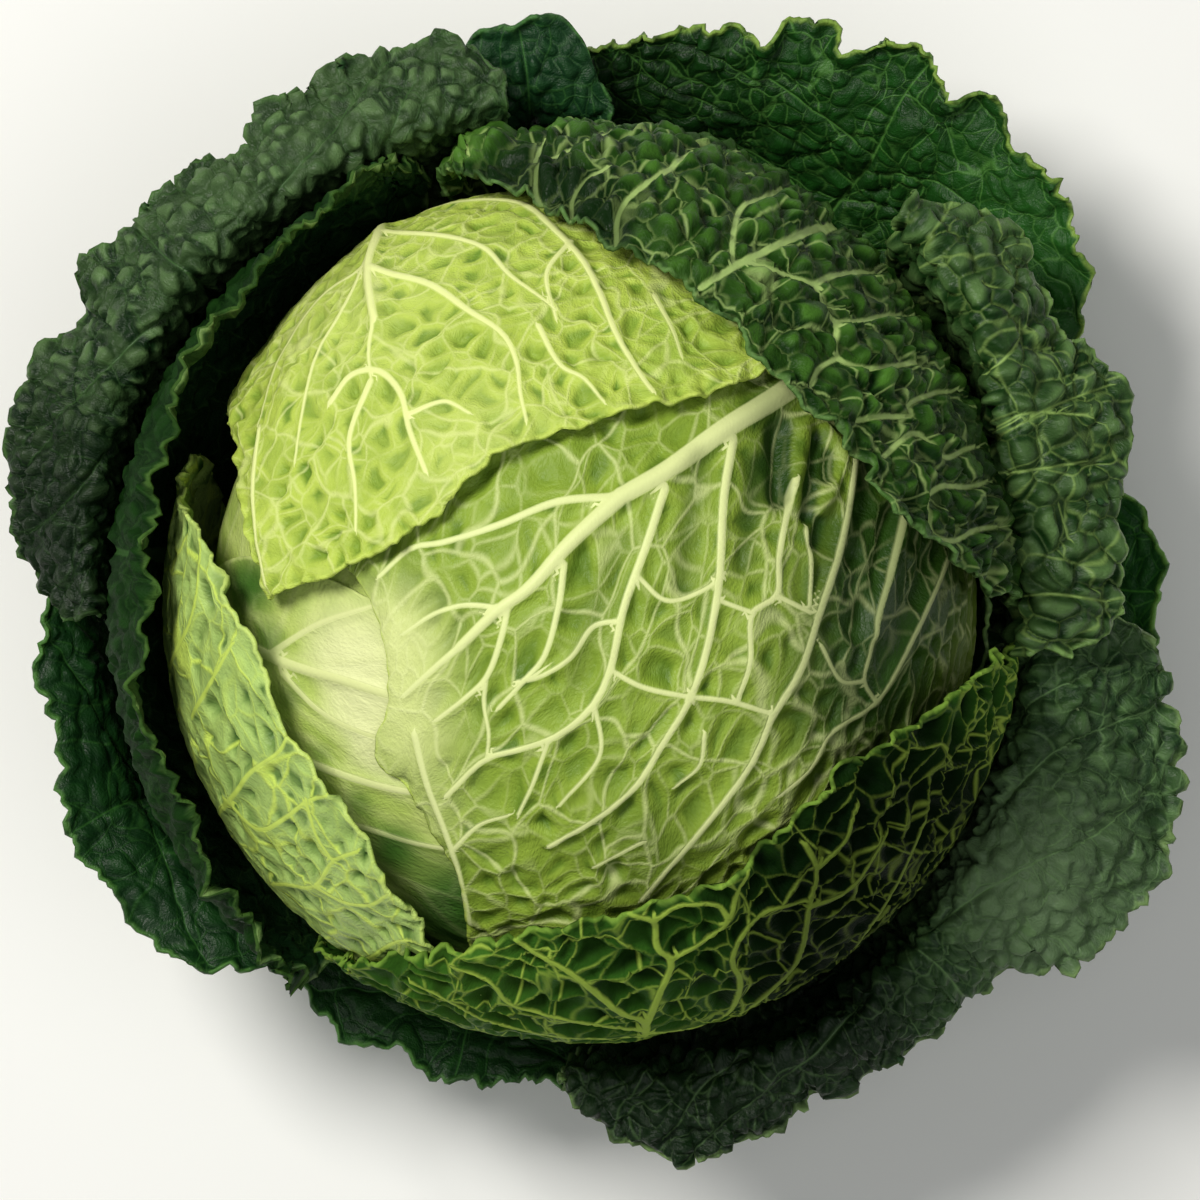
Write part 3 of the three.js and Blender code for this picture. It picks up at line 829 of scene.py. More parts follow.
left_leaf = grow_leaf(
    "left_leaf",
    head_place(
        base=205, layer=2,
        left=[(181, 142), (166, 118), (159, 102)],
        end=[(159, 90), (170, 65), (178, 56), (186, 50.5), (201, 48), (219, 46.5), (239, 53.5),
             (258, 71)],
        right=[(231, 142), (248, 115), (257, 92)],
        teeth=(3, 0.9), seed=11,
    ),
    size=(160, 125),
    ribs=[
        above((0.56, 0.3), (-90, -14), (-84, -4), (-81, 10), (-81, 22)),
        above((0.48, 0.3), (-84, -24), (-79, -16), (-74, -8)),
        above((0.56, 0.3), (-80, -46), (-74.3, -40), (-71, -35.6), (-64, -30.6), (-61.7, -27)),
        above((0.56, 0.3), (-77, -41), (-69, -47.6), (-63.4, -45), (-58.5, -41.3), (-53.5, -39.4)),
        above((0.48, 0.3), (-58.5, -41.3), (-56.3, -49), (-53, -54)),
        above((0.56, 0.3), (-72, -61), (-64.5, -59.6), (-57.4, -59.6), (-53, -54), (-47.5, -51.4)),
        above((0.56, 0.3), (-57.4, -59.6), (-50.3, -63), (-44.8, -63), (-41, -60)),
        above((0.56, 0.3), (-53, -80), (-46, -75.4), (-39.4, -71), (-34, -70.5)),
        inside((3.0, 0.6), (0.5, 0.0), (0.5, 0.3), (0.5, 0.6), rise=0.6),
    ],
    seed=13, cell=5.6, drift=2.5, stretch=lengthened(0.2, -1, 0.3, share=0.3), fine=0.5,
    broad=0.9, pits=2.6, wrinkle=0.25, crumple=1.1, lift=1.2, wave=1.6, length=15,
    # Tone spots: lighter at its upper end, darker at its lower tip.
    tone=[(-80, 0, 20, 0.3), (-36, -72, 12, -0.2)],
)
# Its dark hollow colour is painted shade in the pits.
pitted_back = leaf_material(
    "pitted_leaf_back", "adca70", "285618", "c6de62", "c6dc74", pale="b8ce74", deep="88a848",
    width=0.045, net=0.95, fine=0.45, depth=1.0, hollow_from=0.13,
)
settle(left_leaf, "head_leaf_left", "head_leaf", pitted_back, pitted_back)


# ---- Bottom leaf of the head --------------------------------------------------------------
# A dark leaf cupping the lower side, back side out: deep hollows, painted nearly black with shade,
# walled by a raised net of pale veins that fans out from its foot. It grows from the stump, outside
# the left leaf.

bottom_leaf = grow_leaf(
    "bottom_leaf",
    head_place(
        base=278, layer=3,
        left=[(248, 145), (235, 120), (231, 104)],
        end=[(232, 92), (238, 72), (247, 58), (262, 47), (281, 43), (300, 43), (318, 42),
             (334, 46), (345, 56), (354, 72)],
        right=[(312, 145), (340, 120), (354, 96)],
        teeth=(3, 0.9), seed=17,
    ),
    size=(200, 125),
    ribs=[
        above((0.8, 0.48), (12.9, -92), (12.9, -89), (7.3, -86.3), (-3, -77.3), (-12, -72),
              (-18, -66)),
        above((0.8, 0.4), (12.9, -90), (15.6, -82.5), (18.2, -75), (15.2, -72), (14.4, -66),
              (9.6, -64), (6, -60)),
        above((0.56, 0.4), (18.2, -75), (29.8, -66.8), (32, -60), (34, -56)),
        above((0.56, 0.4), (14.4, -66), (20, -62.7), (28, -63), (30, -66)),
        above((0.72, 0.4), (12.9, -92), (25.3, -90.7), (30.5, -87.7), (33, -79.5), (31, -75),
              (36.8, -65.3), (46.9, -62.3)),
        above((0.8, 0.48), (30, -92), (39.5, -82.5), (45.4, -75), (47.3, -63.8), (48.8, -55.6),
              (46.2, -50)),
        above((0.56, 0.4), (48.8, -55.6), (54.4, -50), (57.4, -42)),
        above((0.56, 0.4), (47.3, -63.8), (56, -60), (64, -48)),
        above((0.64, 0.4), (12.9, -91), (0.6, -89), (-8.3, -87), (-16.6, -84), (-19.5, -80),
              (-28, -76)),
        above((0.64, 0.4), (12.9, -93), (-2, -93), (-14.3, -90.7), (-21.8, -88.5), (-29.3, -84),
              (-37, -80)),
        above((0.56, 0.4), (58, -74), (66, -60), (72, -46)),
        inside((3.2, 1.0), (0.5, 0.0), (0.5, 0.2), (0.5, 0.5), rise=0.6),
    ],
    seed=19, cell=7.8, drift=4.0, stretch=lengthened(0, 0, 1, share=0.15), fine=3.6, broad=0.8,
    wrinkle=0.5, crumple=1.5, lift=0.8, wave=1.8, length=13,
    # Tone spots: lighter at the left, painted shade over the right side, away from the key light.
    tone=[(-26, -78, 24, 0.4), (74, -52, 30, -1.0), (54, -76, 26, -0.9)],
)
# Its nearly black hollow colour is painted shade in the pits, and its deep colour the painted shade
# on the right.
netted_back = leaf_material(
    "netted_leaf_back", "30591b", "071606", "9ab548", "7da03f", pale="4c7a28", deep="061505",
    width=0.03, net=0.9, fine=0.7, depth=1.0, hollow_from=0.05, shine=0.015,
)
settle(bottom_leaf, "head_leaf_bottom", "wrapper_leaf", netted_back, netted_back)


# ---- Folded leaf of the head --------------------------------------------------------------
# The blue-green leaf folded over the upper right shoulder, back side out, glossy and
# crumpled, with a pale midrib and a comb of cross veins. It grows from the stump.

folded_leaf = grow_leaf(
    "folded_leaf",
    head_place(
        base=56, layer=2, bulge={"azimuth": 84, "spread": 34, "amount": 11},
        left=[(30, 145), (10, 120), (0, 96)],
        end=[(1, 70), (6, 61), (15, 46.5), (28, 44.2), (45, 41.7), (58, 42.8), (71, 46.2),
             (84, 52), (94, 62), (99, 68.5), (103.5, 73), (107.5, 82)],
        right=[(85, 145), (103, 124), (109, 103)],
        teeth=(3, 1.2), seed=23,
    ),
    size=(230, 140),
    ribs=[
        above((0.9, 0.6), (50.5, 80.8), (41.7, 76.4), (33, 72), (24, 66)),
        above((0.6, 0.5), (34, 72), (41.7, 69.7), (48.4, 67.6), (50.5, 69), (59, 71), (68, 72)),
        above((0.5, 0.5), (31, 72), (31, 77), (33, 84), (38, 86.5), (45, 90.6), (52, 93)),
        above((0.5, 0.5), (48.4, 67.6), (51, 61.6), (52.5, 59), (53, 52), (59, 49.7), (70, 51.4)),
        above((0.5, 0.4), (52.5, 59.5), (58.6, 60), (64, 61.5), (72, 62)),
        above((0.5, 0.4), (47, 46), (49, 49.5), (53, 52)),
        above((0.5, 0.4), (57, 38.6), (62.6, 39.6), (68.7, 40), (68, 42), (73.4, 44.7), (80, 46)),
        above((0.5, 0.4), (62.6, 31.2), (69.4, 36.2), (76, 31.2), (81, 33.2), (88, 35)),
        above((0.5, 0.4), (72, 23), (75, 25), (81, 25), (88, 27)),
        above((0.5, 0.4), (72, 23), (72, 18.4), (73.4, 14.3), (78, 13.6), (82, 15.7), (90, 17)),
        above((0.6, 0.5), (22.4, 96.3), (18.4, 92.8), (13.4, 89.2), (7.3, 83.7), (6.8, 77.7)),
        above((0.5, 0.4), (4.8, 92.8), (-2.7, 88.7), (-3.2, 84)),
        above((0.6, 0.5), (6.3, 102.3), (0.8, 98.8), (-5.2, 96.3), (-10.3, 95.3), (-11.3, 91),
              (-9.8, 87.5)),
        above((0.5, 0.4), (-11, 96), (-7, 102), (-2, 105)),
        above((0.5, 0.4), (-21, 103), (-24.3, 98.3), (-24.3, 94)),
        inside((3.2, 0.9), (0.5, 0.0), (0.5, 0.3), (0.51, 0.55), (0.51, 0.76), rise=0.7),
    ],
    seed=29, raised=False, cell=6.7, drift=3.5, fine=3.0, broad=0.9, wrinkle=2.1, crumple=1.4,
    lift=0.5, wave=2.4, length=12,
    # Tone spots: paler at the left tip and middle, and painted shade on the lower right, away from
    # the key light.
    tone=[(-26, 97, 7, 0.7), (10, 70, 16, 0.2), (86, 22, 24, -0.4)],
    folds=[(-5.0, 6.5, ((-22, 91.5), (-14.3, 90.5), (-6, 86.5), (3, 80))),
           (6.0, 4.0, ((-24, 96), (-19, 99.5)))],
)
# Its dark blade colour is painted shade in the grooves between the blisters, and its deep colour is
# painted shade.
blue_back = leaf_material(
    "blue_green_leaf_back", "0e2a08", "487428", "a2bd70", "64894a", pale="5a8834", deep="10260c",
    width=0.03, net=0.55, fine=0.28, depth=0.95, hollow_from=0.1, gloss=0.36, shine=0.07,
)
settle(folded_leaf, "head_leaf_folded", "wrapper_leaf", blue_back, blue_back)


# ---- Wrapper leaves -----------------------------------------------------------------------
# Two dark leaves that stand close round the head: a broad one up the whole left side, its
# frilled margin leaning out, and a small one tucked behind the folded leaf on the right.

dark_face = leaf_material(
    "dark_leaf_face", "16351a", "244a20", "4b7238", "7f9c58", width=0.03, net=0.4, fine=0.25,
    depth=0.6, gloss=0.42,
)
dark_back = leaf_material(
    "dark_leaf_back", "2c5029", "1d3a1c", "a4b981", "6f8f4c", width=0.04, net=0.6, fine=0.4,
    depth=0.7, gloss=0.5,
)
wrapper_back = leaf_material(
    "wrapper_leaf_back", "0d240b", "1d3f15", "2d5022", "48682e", width=0.03, net=0.4, fine=0.3,
    depth=0.8, gloss=0.55, shine=0.04,
)
left_wrapper = grow_leaf(
    "left_wrapper",
    head_place(
        base=172, layer=4, flare=5,
        left=[(140, 145), (119, 122), (110, 105)],
        end=[(111, 93), (115, 83), (126, 76), (140, 72), (158, 69), (175, 68), (192, 68),
             (206, 70), (219, 75), (230, 84), (233, 94)],
        right=[(204, 145), (226, 122), (234, 107)],
        teeth=(2.5, 1.0), seed=31,
    ),
    size=(230, 80), split=0.4,
    ribs=[inside((3.2, 0.5), (0.5, 0.0), (0.5, 0.4), (0.5, 0.95), rise=0.6)],
    seed=37, raised=False, cell=6.0, fine=2.0, broad=0.8, wrinkle=1.0, crumple=3.0, reach=9,
    lift=-1.0, wave=6.5, length=17,
    spare=0.7,
)
settle(left_wrapper, "wrapper_leaf_left", "wrapper_leaf", wrapper_back, dark_face)
right_wrapper = grow_leaf(
    "right_wrapper",
    head_place(
        base=33, layer=1,
        left=[(12, 145), (-6, 125), (-13, 110)],
        end=[(-12, 99), (-5, 93), (10, 88), (30, 80), (48, 76), (60, 79), (66, 90)],
        right=[(50, 145), (62, 125), (67, 107)],
        teeth=(3, 0.6), seed=41,
    ),
    size=(90, 50), split=0.4,
    ribs=[inside((2.6, 0.5), (0.5, 0.0), (0.5, 0.4), (0.5, 0.95), rise=0.6)],
    seed=43, cell=6.5, fine=1.0, broad=0.7, wrinkle=0.3, crumple=0.6, reach=7, wave=0.8,
    spare=0.6,
)
settle(right_wrapper, "wrapper_leaf_right", "wrapper_leaf", dark_back, dark_face)


# ---- Loose outer leaves -------------------------------------------------------------------
# The big dark leaves round the head. Each grows from the side of the stump on a thick pale
# rib, climbs the side of the head, turns over at a crest and ends in a ruffled, lobed rim.

TIER_PATHS = (
    ((17.5, 10), (45, 15.5), (70, 31)),
    ((17.5, 7), (45, 12), (71, 27)),
    ((17.5, 4.2), (45, 7.5), (72, 20)),
)


RAGGED_SIDES = 1.3
CORNER_ROUNDING = 0.6
CORNER_WIDTH = 3
WALL_KNOT = (0.62, 0.5)


def loose_place(base, tier, span, wall, crest, rim, teeth, seed):
    """The upper face of a loose leaf: maps its own (s, t) grid to places round the head. wall
    pushes its climb outward in millimetres; crest and rim are lists of (azimuth, reach,
    height); teeth is (degrees apart, millimetres)."""
    compass = np.arange(-40.0, 400.0, 0.25)
    jag = np.abs(rough(compass[:, None], 1 / teeth[0], seed)) * 1.6
    jag += np.abs(rough(compass[:, None], 2.2 / teeth[0], seed + 1)) - 1.1

    def place(s, t):
        fan = eased(0.1, 0.78, t)
        low = base - PETIOLE_HALF_ANGLE + (span[0] - base + PETIOLE_HALF_ANGLE) * fan
        high = base + PETIOLE_HALF_ANGLE + (span[1] - base - PETIOLE_HALF_ANGLE) * fan
        ragged = RAGGED_SIDES * eased(0.4, 0.9, t)
        low = low + ragged * rough(t[..., None], 6, seed + 2)
        high = high + ragged * rough(t[..., None], 6, seed + 3)
        azimuth = low + (high - low) * s
        from_side = np.minimum(s, 1 - s) * (span[1] - span[0])
        corner = CORNER_ROUNDING * np.exp(-((from_side / CORNER_WIDTH) ** 2))
        knots = [np.broadcast_to(np.array(knot, float), (*t.shape, 2))
                 for knot in TIER_PATHS[tier]]
        turns = []
        for line in (crest, rim):
            around, reach, height = np.array(line, float).T
            turns.append(np.stack([np.interp(azimuth, around, reach),
                                   np.interp(azimuth, around, height)], -1))
        turns[1][..., 0] += teeth[1] * np.interp(azimuth, compass, jag)
        turns[1] += corner[..., None] * (turns[0] - turns[1])
        foot = knots[2]
        rise = foot + np.array(WALL_KNOT) * (turns[0] - foot) + np.array((wall, 0))
        knots += [rise, *turns]
        knots = [2 * knots[0] - knots[1], *knots, 2 * knots[-1] - knots[-2]]
        path = np.zeros((*t.shape, 2))
        stretches = len(knots) - 3
        for i in range(stretches):
            here = (t * stretches >= i) & (t * stretches <= i + 1)
            fraction = (t * stretches - i)[here][:, None]
            path[here] = curve_between(*(knot[here] for knot in knots[i : i + 4]), fraction)
        turn = np.radians(azimuth)
        return np.stack([path[..., 0] * np.cos(turn), path[..., 0] * np.sin(turn), path[..., 1]],
                        -1) * MM

    return place


FIRST_PAIR = 0.2
LAST_PAIR = 0.84


def feather(width, pairs):
    """A midrib with side ribs arching off it towards the rim, in the leaf's (s, t)."""
    ribs = [inside((width, 1.2), (0.5, 0.0), (0.5, 0.3), (0.5, 0.62)),
            inside((1.2, 0.4), (0.5, 0.62), (0.5, 0.8), (0.5, 0.98))]
    for i in range(pairs):
        start = FIRST_PAIR + (LAST_PAIR - FIRST_PAIR) * i / pairs
        reach = 0.46 - 0.12 * i / pairs
        for side in (-1, 1):
            root = start + 0.025 * side
            ribs.append(inside(
                (0.2 * width, 0.35), (0.5, root), (0.5 + side * 0.45 * reach, root + 0.11),
                (0.5 + side * 0.8 * reach, root + 0.2),
                (0.5 + side * reach, min(root + 0.34, 0.98)),
            ))
    return ribs


def loose_leaf(name, node, place, face, lines=(0.5, 0.35), split=0.45, thin=0.9, **shape):
    """One loose leaf, its inner face up. face is its colours from blade to deep: the darker blade
    colour is painted shade in the grooves between blisters and the deep one painted shade. lines is
    how far the net's broad and fine veins show, and shape the rest of what grow_leaf is told."""
    leaf = grow_leaf(name, place, split=split, thin=thin, outer=False, raised=False, spare=0.42,
                     **shape)
    finish = leaf_material(name + "_face", *face, width=0.03, net=lines[0], fine=lines[1],
                           depth=0.85, hollow_from=0.1, gloss=0.42)
    settle(leaf, node, "outer_leaf", finish, dark_back)


loose_leaf(
    "blistered_leaf", "outer_leaf_upper_left",
    loose_place(
        139, 0, (99, 181), 6,
        crest=[(99, 110, 98), (120, 111, 104), (140, 112, 106), (160, 111, 104),
               (181, 107, 98)],
        rim=[(99, 127, 91), (104, 128, 92), (116, 129, 92), (119, 125, 93), (123, 129, 93),
             (126, 124, 94), (133, 128, 94), (138, 126, 93), (147, 133, 92), (149, 127, 92),
             (154, 129, 91), (159, 131, 90), (168, 128, 88), (174, 125, 88), (178, 120, 87),
             (181, 117, 87)],
        teeth=(2.8, 1.8), seed=51,
    ),
    size=(190, 150), seed=53, ribs=feather(4.2, 5),
    cell=4.5, fine=2.5, broad=0.8, wrinkle=0.7, crumple=0.8, reach=10, wave=4.0, length=15,
    face=("0e260e", "607f4c", "3a5a2e", "4c7038", "6c8a58", "0a1d0a"),
    # Tone spots: painted shade low on the left, where the leaf's inside lies in shadow, and painted
    # light on its upper part.
    tone=[(-116, 16, 34, -0.8), (-60, 92, 40, 0.25)],
)
loose_leaf(
    "right_leaf", "outer_leaf_right",
    loose_place(
        22, 0, (-6, 51), 6,
        crest=[(-6, 97, 98), (17, 97, 104), (27, 101, 106), (35, 106, 106), (51, 110, 100)],
        rim=[(-6, 117, 90), (11, 116, 92), (17, 122, 92), (21, 127, 92), (25, 124, 93),
             (29, 119, 93), (36, 120, 92), (42, 124, 92), (46, 119, 91), (51, 115, 90)],
        teeth=(3.5, 1.2), seed=57,
    ),
    size=(130, 130), seed=59,
    ribs=feather(4.0, 0) + [
        above((1.8, 1.2), (87.6, 50.1), (93.7, 58.2), (93, 63.6), (88.9, 67.6), (85.6, 69)),
        above((1.6, 1.0), (88.9, 37.9), (93.7, 41), (107.8, 41)),
        above((1.6, 1.0), (91.6, 28.5), (99.7, 29.8), (107.2, 31.2)),
        above((1.6, 1.0), (92.3, 1.5), (99.7, 2.5), (112.6, 0.8)),
        above((1.4, 1.0), (101.8, 21.7), (103.8, 14.3)),
        above((1.4, 1.0), (92.3, 73), (97.7, 71)),
    ],
    cell=6.6, fine=3.2, broad=1.0, wrinkle=1.6, crumple=1.2, reach=9, wave=3.0, length=16,
    face=("14330f", "5f8048", "8aa85a", "7fa358", "6c9450", "13290f"),
)
loose_leaf(
    "lower_left_leaf", "outer_leaf_lower_left",
    loose_place(
        204, 1, (175, 232), 6,
        crest=[(175, 108, 72), (203, 110, 74), (232, 96, 68)],
        rim=[(175, 122, 80), (180, 119, 81), (186, 121, 82), (194, 119, 82), (203, 125, 82),
             (212, 122, 80), (219, 121, 79), (225, 114, 78), (232, 102, 74)],
        teeth=(2.6, 2.2), seed=61,
    ),
    size=(120, 120), seed=67, ribs=feather(4.0, 5),
    cell=6.0, fine=1.2, broad=0.8, wrinkle=0.6, crumple=0.8, reach=9, wave=2.4, length=16,
    face=("0d2a10", "194117", "2c5722", "4f7f38"),
)
loose_leaf(
    "lower_right_leaf", "outer_leaf_lower_right",
    loose_place(
        312, 1, (267, 361), 6,
        crest=[(267, 104, 76), (296, 108, 84), (321, 104, 88), (361, 98, 84)],
        rim=[(267, 107, 72), (271, 114, 73), (276, 120, 74), (280, 123, 74), (288, 123, 74),
             (296, 120, 74), (304, 120, 74), (309, 123, 74), (313, 119, 74), (318, 123, 73),
             (325, 134, 72), (335, 140, 70), (343, 137, 70), (347, 133, 71), (357, 125, 73),
             (361, 120, 74)],
        teeth=(2.8, 2.0), seed=71,
    ),
    size=(210, 140), seed=73, ribs=feather(4.2, 6),
    cell=4.8, fine=2.7, broad=1.0, wrinkle=1.9, crumple=2.0, reach=10, wave=3.4,
    face=("1c381a", "50703f", "688a55", "7d9c5c", "748f66", "0c200b"),
    # Tone spots: lighter at the right end, and painted shade over the left and middle parts below
    # the head.
    tone=[(94, -64, 32, 0.6), (20, -112, 44, -0.8), (60, -84, 20, -0.7)],
)
loose_leaf(
    "small_top_leaf", "small_leaf_top",
    loose_place(
        97, 1, (87, 106), 4,
        crest=[(87, 106, 71), (97, 112, 74), (106, 108, 71)],
        rim=[(87, 118, 74), (90, 127, 79), (94, 130, 80), (97, 128, 80), (100, 129, 79),
             (103, 126, 78), (106, 118, 74)],
        teeth=(3.0, 1.0), seed=79,
    ),
    size=(60, 80), split=0.5, seed=83, ribs=feather(2.4, 0),
    cell=4.6, drift=2.5, fine=1.9, broad=0.6, wrinkle=0.9, crumple=1.4, thin=0.8, reach=6,
    wave=1.6, length=12,
    face=("12331a", "1f4722", "38662e", "48783a"),
)
loose_leaf(
    "upper_right_leaf", "outer_leaf_upper_right",
    loose_place(
        60, 2, (20, 95), 4,
        crest=[(20, 104, 52), (50, 124, 60), (75, 114, 58), (95, 106, 49)],
        rim=[(20, 118, 58), (23, 120, 59), (29, 125, 62), (33, 134, 64), (38, 137, 67),
             (42, 142, 69), (47, 140, 70), (52, 146, 71), (54, 139, 71), (57, 142, 72),
             (60, 144, 72), (63, 141, 72), (65, 134, 72), (67, 140, 72), (71, 137, 72),
             (72, 131, 72), (75, 132, 71), (80, 130, 70), (85, 127, 68), (93, 120, 65),
             (95, 117, 64)],
        teeth=(2.4, 2.6), seed=89,
    ),
    size=(200, 150), split=0.5, seed=97, ribs=feather(4.2, 6),
    cell=4.8, fine=1.2, broad=1.2, wrinkle=0.7, crumple=1.8, reach=8, wave=4.0, length=11,
    face=("12350e", "1c4f16", "4f8038", "8fb04c", "2c6322", "071807"),
    lines=(0.65, 0.5),
    # Tone spots: painted shade at its left end, next to the dark gap behind the folded leaf, and
    # lighter at its right end.
    tone=[(10, 112, 34, -0.5), (98, 74, 34, 0.5)],
)
loose_leaf(
    "lower_leaf", "outer_leaf_bottom",
    loose_place(
        252, 2, (227, 282), 2,
        crest=[(227, 92, 42), (252, 97, 45), (282, 94, 42)],
        rim=[(227, 100, 48), (234, 107, 50), (240, 111, 51), (247, 108, 52), (254, 111, 52),
             (261, 108, 51), (268, 108, 50), (275, 104, 48), (282, 100, 47)],
        teeth=(2.6, 2.4), seed=101,
    ),
    size=(110, 110), seed=103, ribs=feather(4.0, 5),
    cell=6.0, fine=1.2, broad=0.7, wrinkle=0.4, crumple=0.4, reach=8, wave=2.0, length=15,
    face=("102a12", "1c4218", "33602a", "4f8038"),
)
loose_leaf(
    "rear_right_leaf", "rear_leaf_right",
    loose_place(
        3, 2, (-13, 17), 3,
        crest=[(-13, 100, 46), (3, 112, 50), (17, 102, 46)],
        rim=[(-13, 114, 52), (-8, 122, 55), (-4, 127, 57), (0, 126, 58), (4, 130, 60),
             (7, 126, 59), (10, 126, 58), (14, 118, 56), (17, 112, 54)],
        teeth=(3.0, 1.0), seed=107,
    ),
    size=(70, 100), split=0.5, seed=109, ribs=feather(3.2, 4),
    cell=5.5, fine=1.2, broad=0.6, wrinkle=0.4, crumple=0.4, reach=8, wave=2.0,
    face=("164018", "26551f", "44802f", "6c9c40"),
)


# ---- Heart and stump ----------------------------------------------------------------------
# The heart is a ball of inner leaves built in place of the imported one, pale and smooth, hardly
# seen between the leaves round it. The stump is the short thick stem under the head, sawn off flat:
# a woody ring of bundles round a moist pale pith, its skin scarred where older leaves were pulled
# off.

bpy.ops.object.select_all(action="DESELECT")
bpy.ops.mesh.primitive_uv_sphere_add(segments=96, ring_count=48, radius=1)
heart = named("heart_ball")
ball = points_of(heart.data)
swell = 0.7 * rough(ball, 3.0, 3) + 0.25 * rough(ball, 9.0, 5)
radii = np.array((HEART_RADIUS, HEART_RADIUS, HEART_HALF_HEIGHT))
shape = ball * (radii + MM * (swell[:, None] - 0.8)) + np.array((0, 0, HEART_CENTRE))
heart.data.vertices.foreach_set("co", shape.ravel())
HEART_CELL = 9
store_places(heart.data, (shape / MM / HEART_CELL).ravel())
for key, value in (("rib_side", FAR), ("rib_half", 0.0), ("rib_gap", FAR), ("edge_gap", FAR),
                   ("tone", 0.0)):
    store_value(heart.data, key, np.full(len(ball), value))
bpy.ops.object.shade_smooth()
# Its deep colour is painted shade, and its hollow colour is painted shade in the cells.
heart_skin = leaf_material(
    "heart_leaf_skin", "bccc70", "88a63c", "d8df9c", "ccd888", pale="dfe4a8", deep="3c6424",
    width=0.08, net=0.3, fine=0.15, depth=0.5,
)
settle(heart, "heart", "head_leaf", heart_skin)
heart_leaf = grow_leaf(
    "heart_leaf",
    head_place(
        base=212, layer=-0.7,
        left=[(196, 140), (186, 115), (178, 90), (172, 65)],
        end=[(172, 45), (185, 26), (210, 18), (235, 24), (250, 40)],
        right=[(229, 140), (240, 115), (248, 90), (254, 62)],
    ),
    size=(110, 120),
    ribs=[
        above((1.27, 0.6), (-76, -6), (-63.4, -12), (-50, -16), (-40, -19), (-26, -22)),
        above((1.12, 0.48), (-66, -30), (-53, -35), (-39, -38.8), (-24, -40)),
        above((0.68, 0.3), (-64, -14), (-56, -22), (-46, -27), (-36, -29)),
        above((0.83, 0.36), (-58, -44), (-46, -47), (-36, -50), (-24, -52)),
        above((0.68, 0.3), (-66, -10), (-56, -4), (-44, 0)),
        inside((2.0, 1.0), (0.5, 0.0), (0.5, 0.3), (0.5, 0.45), rise=0.4),
    ],
    seed=127, cell=8.0, stretch=lengthened(0.95, -0.25, 0, share=0.5), broad=0.5, wrinkle=0.3,
    thin=0.5, wave=0.3, length=20,
    # Tone spots: a paler middle, painted shade low at the bottom, and a row of painted shadow along
    # the left leaf's margin.
    tone=[(-49, -12, 15, 0.9), (-43, -30, 12, 0.8), (-27, -66, 13, -1.0), (-72, 4, 7, -0.9),
          (-66, -8, 5.5, -0.8), (-61, -19, 5.5, -0.8), (-55, -31, 5.5, -0.8),
          (-48, -41, 5.5, -0.8), (-41, -51, 6, -0.8)],
)
settle(heart_leaf, "heart", "head_leaf", heart_skin, heart_skin)

bpy.ops.object.select_all(action="DESELECT")
bpy.ops.mesh.primitive_grid_add(x_subdivisions=120, y_subdivisions=64, size=1)
stump = named("cut_stump")
STUMP_RADIUS = 18
flat = points_of(stump.data)
turn = (flat[:, 0] + 0.5) * 2 * math.pi
profile = np.array([(0, 0), (6, 0), (12, 0), (16.8, 0.05), (17.8, 0.5), (18.2, 2), (18.6, 6),
                    (18.2, 10), (18, 13), (16.5, 18), (14, 24), (13, 25.4), (0, 25.4)])
along = np.concatenate([[0], np.cumsum(np.linalg.norm(np.diff(profile, axis=0), axis=1))])
fraction = (flat[:, 1] + 0.5) * along[-1]
radius = np.interp(fraction, along, profile[:, 0])
height = np.interp(fraction, along, profile[:, 1])
round_place = np.stack([np.cos(turn), np.sin(turn), height / STUMP_RADIUS], -1)
side = eased(14, STUMP_RADIUS, radius) * eased(0.2, 2, height) * eased(25, 22, height)
scars = 0.5 * rough(round_place * np.array((1, 1, 2.2)), 2.2, 9)
scars += 0.25 * rough(round_place * np.array((1, 1, 2.2)), 6.0, 11)
radius = radius + np.clip(scars, -1, 0.3) * side
face_dip = 0.12 * (1 + rough(np.stack([radius * np.cos(turn), radius * np.sin(turn)], -1)
                             @ np.eye(2, 3), 0.35, 13)) * eased(16.5, 13, radius)
height = np.where(fraction < 17, face_dip, height)
shape = np.stack([radius * np.cos(turn), radius * np.sin(turn), height], -1) * MM
stump.data.vertices.foreach_set("co", shape.ravel())
bpy.ops.object.mode_set(mode="EDIT")
bpy.ops.mesh.select_all(action="SELECT")
bpy.ops.mesh.remove_doubles(threshold=0.00002)
bpy.ops.mesh.normals_make_consistent(inside=False)
bpy.ops.object.mode_set(mode="OBJECT")
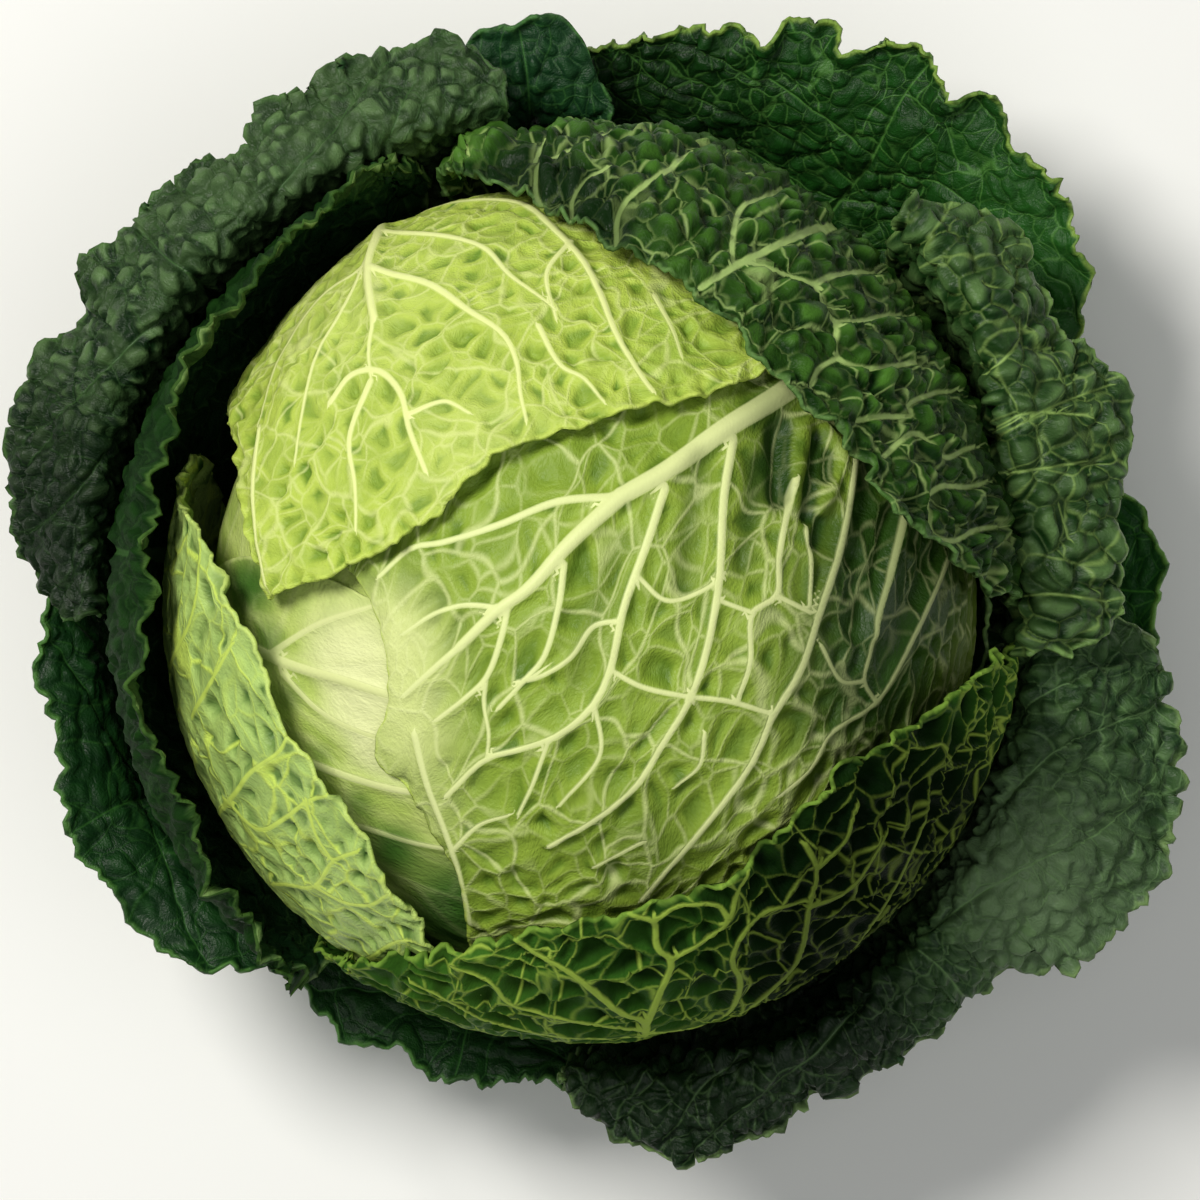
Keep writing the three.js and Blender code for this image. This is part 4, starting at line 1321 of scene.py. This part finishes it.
bpy.ops.object.shade_smooth()

RING_WOBBLE = 0.0022
RAMP_PER_METRE = 50
wood = bpy.data.materials.new("stump_flesh")
wood.use_nodes = True
tree = wood.node_tree
where = add_node(tree, "ShaderNodeTexCoord").outputs["Object"]
axes = add_node(tree, "ShaderNodeSeparateXYZ", {0: where}).outputs
flat_place = add_node(tree, "ShaderNodeCombineXYZ", {"X": axes["X"], "Y": axes["Y"]})
distance = add_node(tree, "ShaderNodeVectorMath", {0: flat_place.outputs[0]}, operation="LENGTH")
wobble = add_node(tree, "ShaderNodeTexNoise", {"Scale": 160, "Detail": 4, "Vector": where})
shift = add_node(tree, "ShaderNodeMath",
                 {0: wobble.outputs["Fac"], 1: RING_WOBBLE, 2: distance.outputs["Value"]},
                 operation="MULTIPLY_ADD")
scale = add_node(tree, "ShaderNodeMath", {0: shift.outputs[0], 1: RAMP_PER_METRE},
                 operation="MULTIPLY")
rings = add_node(tree, "ShaderNodeValToRGB", {"Fac": scale.outputs[0]})
stops = ((0.0, "e6e3c0"), (0.5, "dcdcae"), (0.62, "c2c58a"), (0.7, "e4e1bd"), (0.8, "cfcf98"),
         (0.93, "b0a56c"), (1.0, "c7cd92"))
while len(rings.color_ramp.elements) < len(stops):
    rings.color_ramp.elements.new(0.5)
for element, (position, code) in zip(rings.color_ramp.elements, stops):
    element.position = position
    element.color = tint(code)
fibres = add_node(tree, "ShaderNodeTexVoronoi", {"Scale": 900, "Vector": where})
speck = add_node(tree, "ShaderNodeMix",
                 {"Factor": 0.3, "A": rings.outputs["Color"], "B": fibres.outputs["Distance"]},
                 data_type="RGBA", blend_type="MULTIPLY")
grain = add_node(tree, "ShaderNodeBump", {"Strength": 0.5, "Distance": 0.0005,
                                          "Height": fibres.outputs["Distance"]})
feed(tree.nodes["Principled BSDF"], {
    "Base Color": speck.outputs["Result"],
    "Normal": grain.outputs["Normal"],
    "Roughness": 0.55,
})
stump.data.materials.append(wood)
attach(stump, "root")
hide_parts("stump")
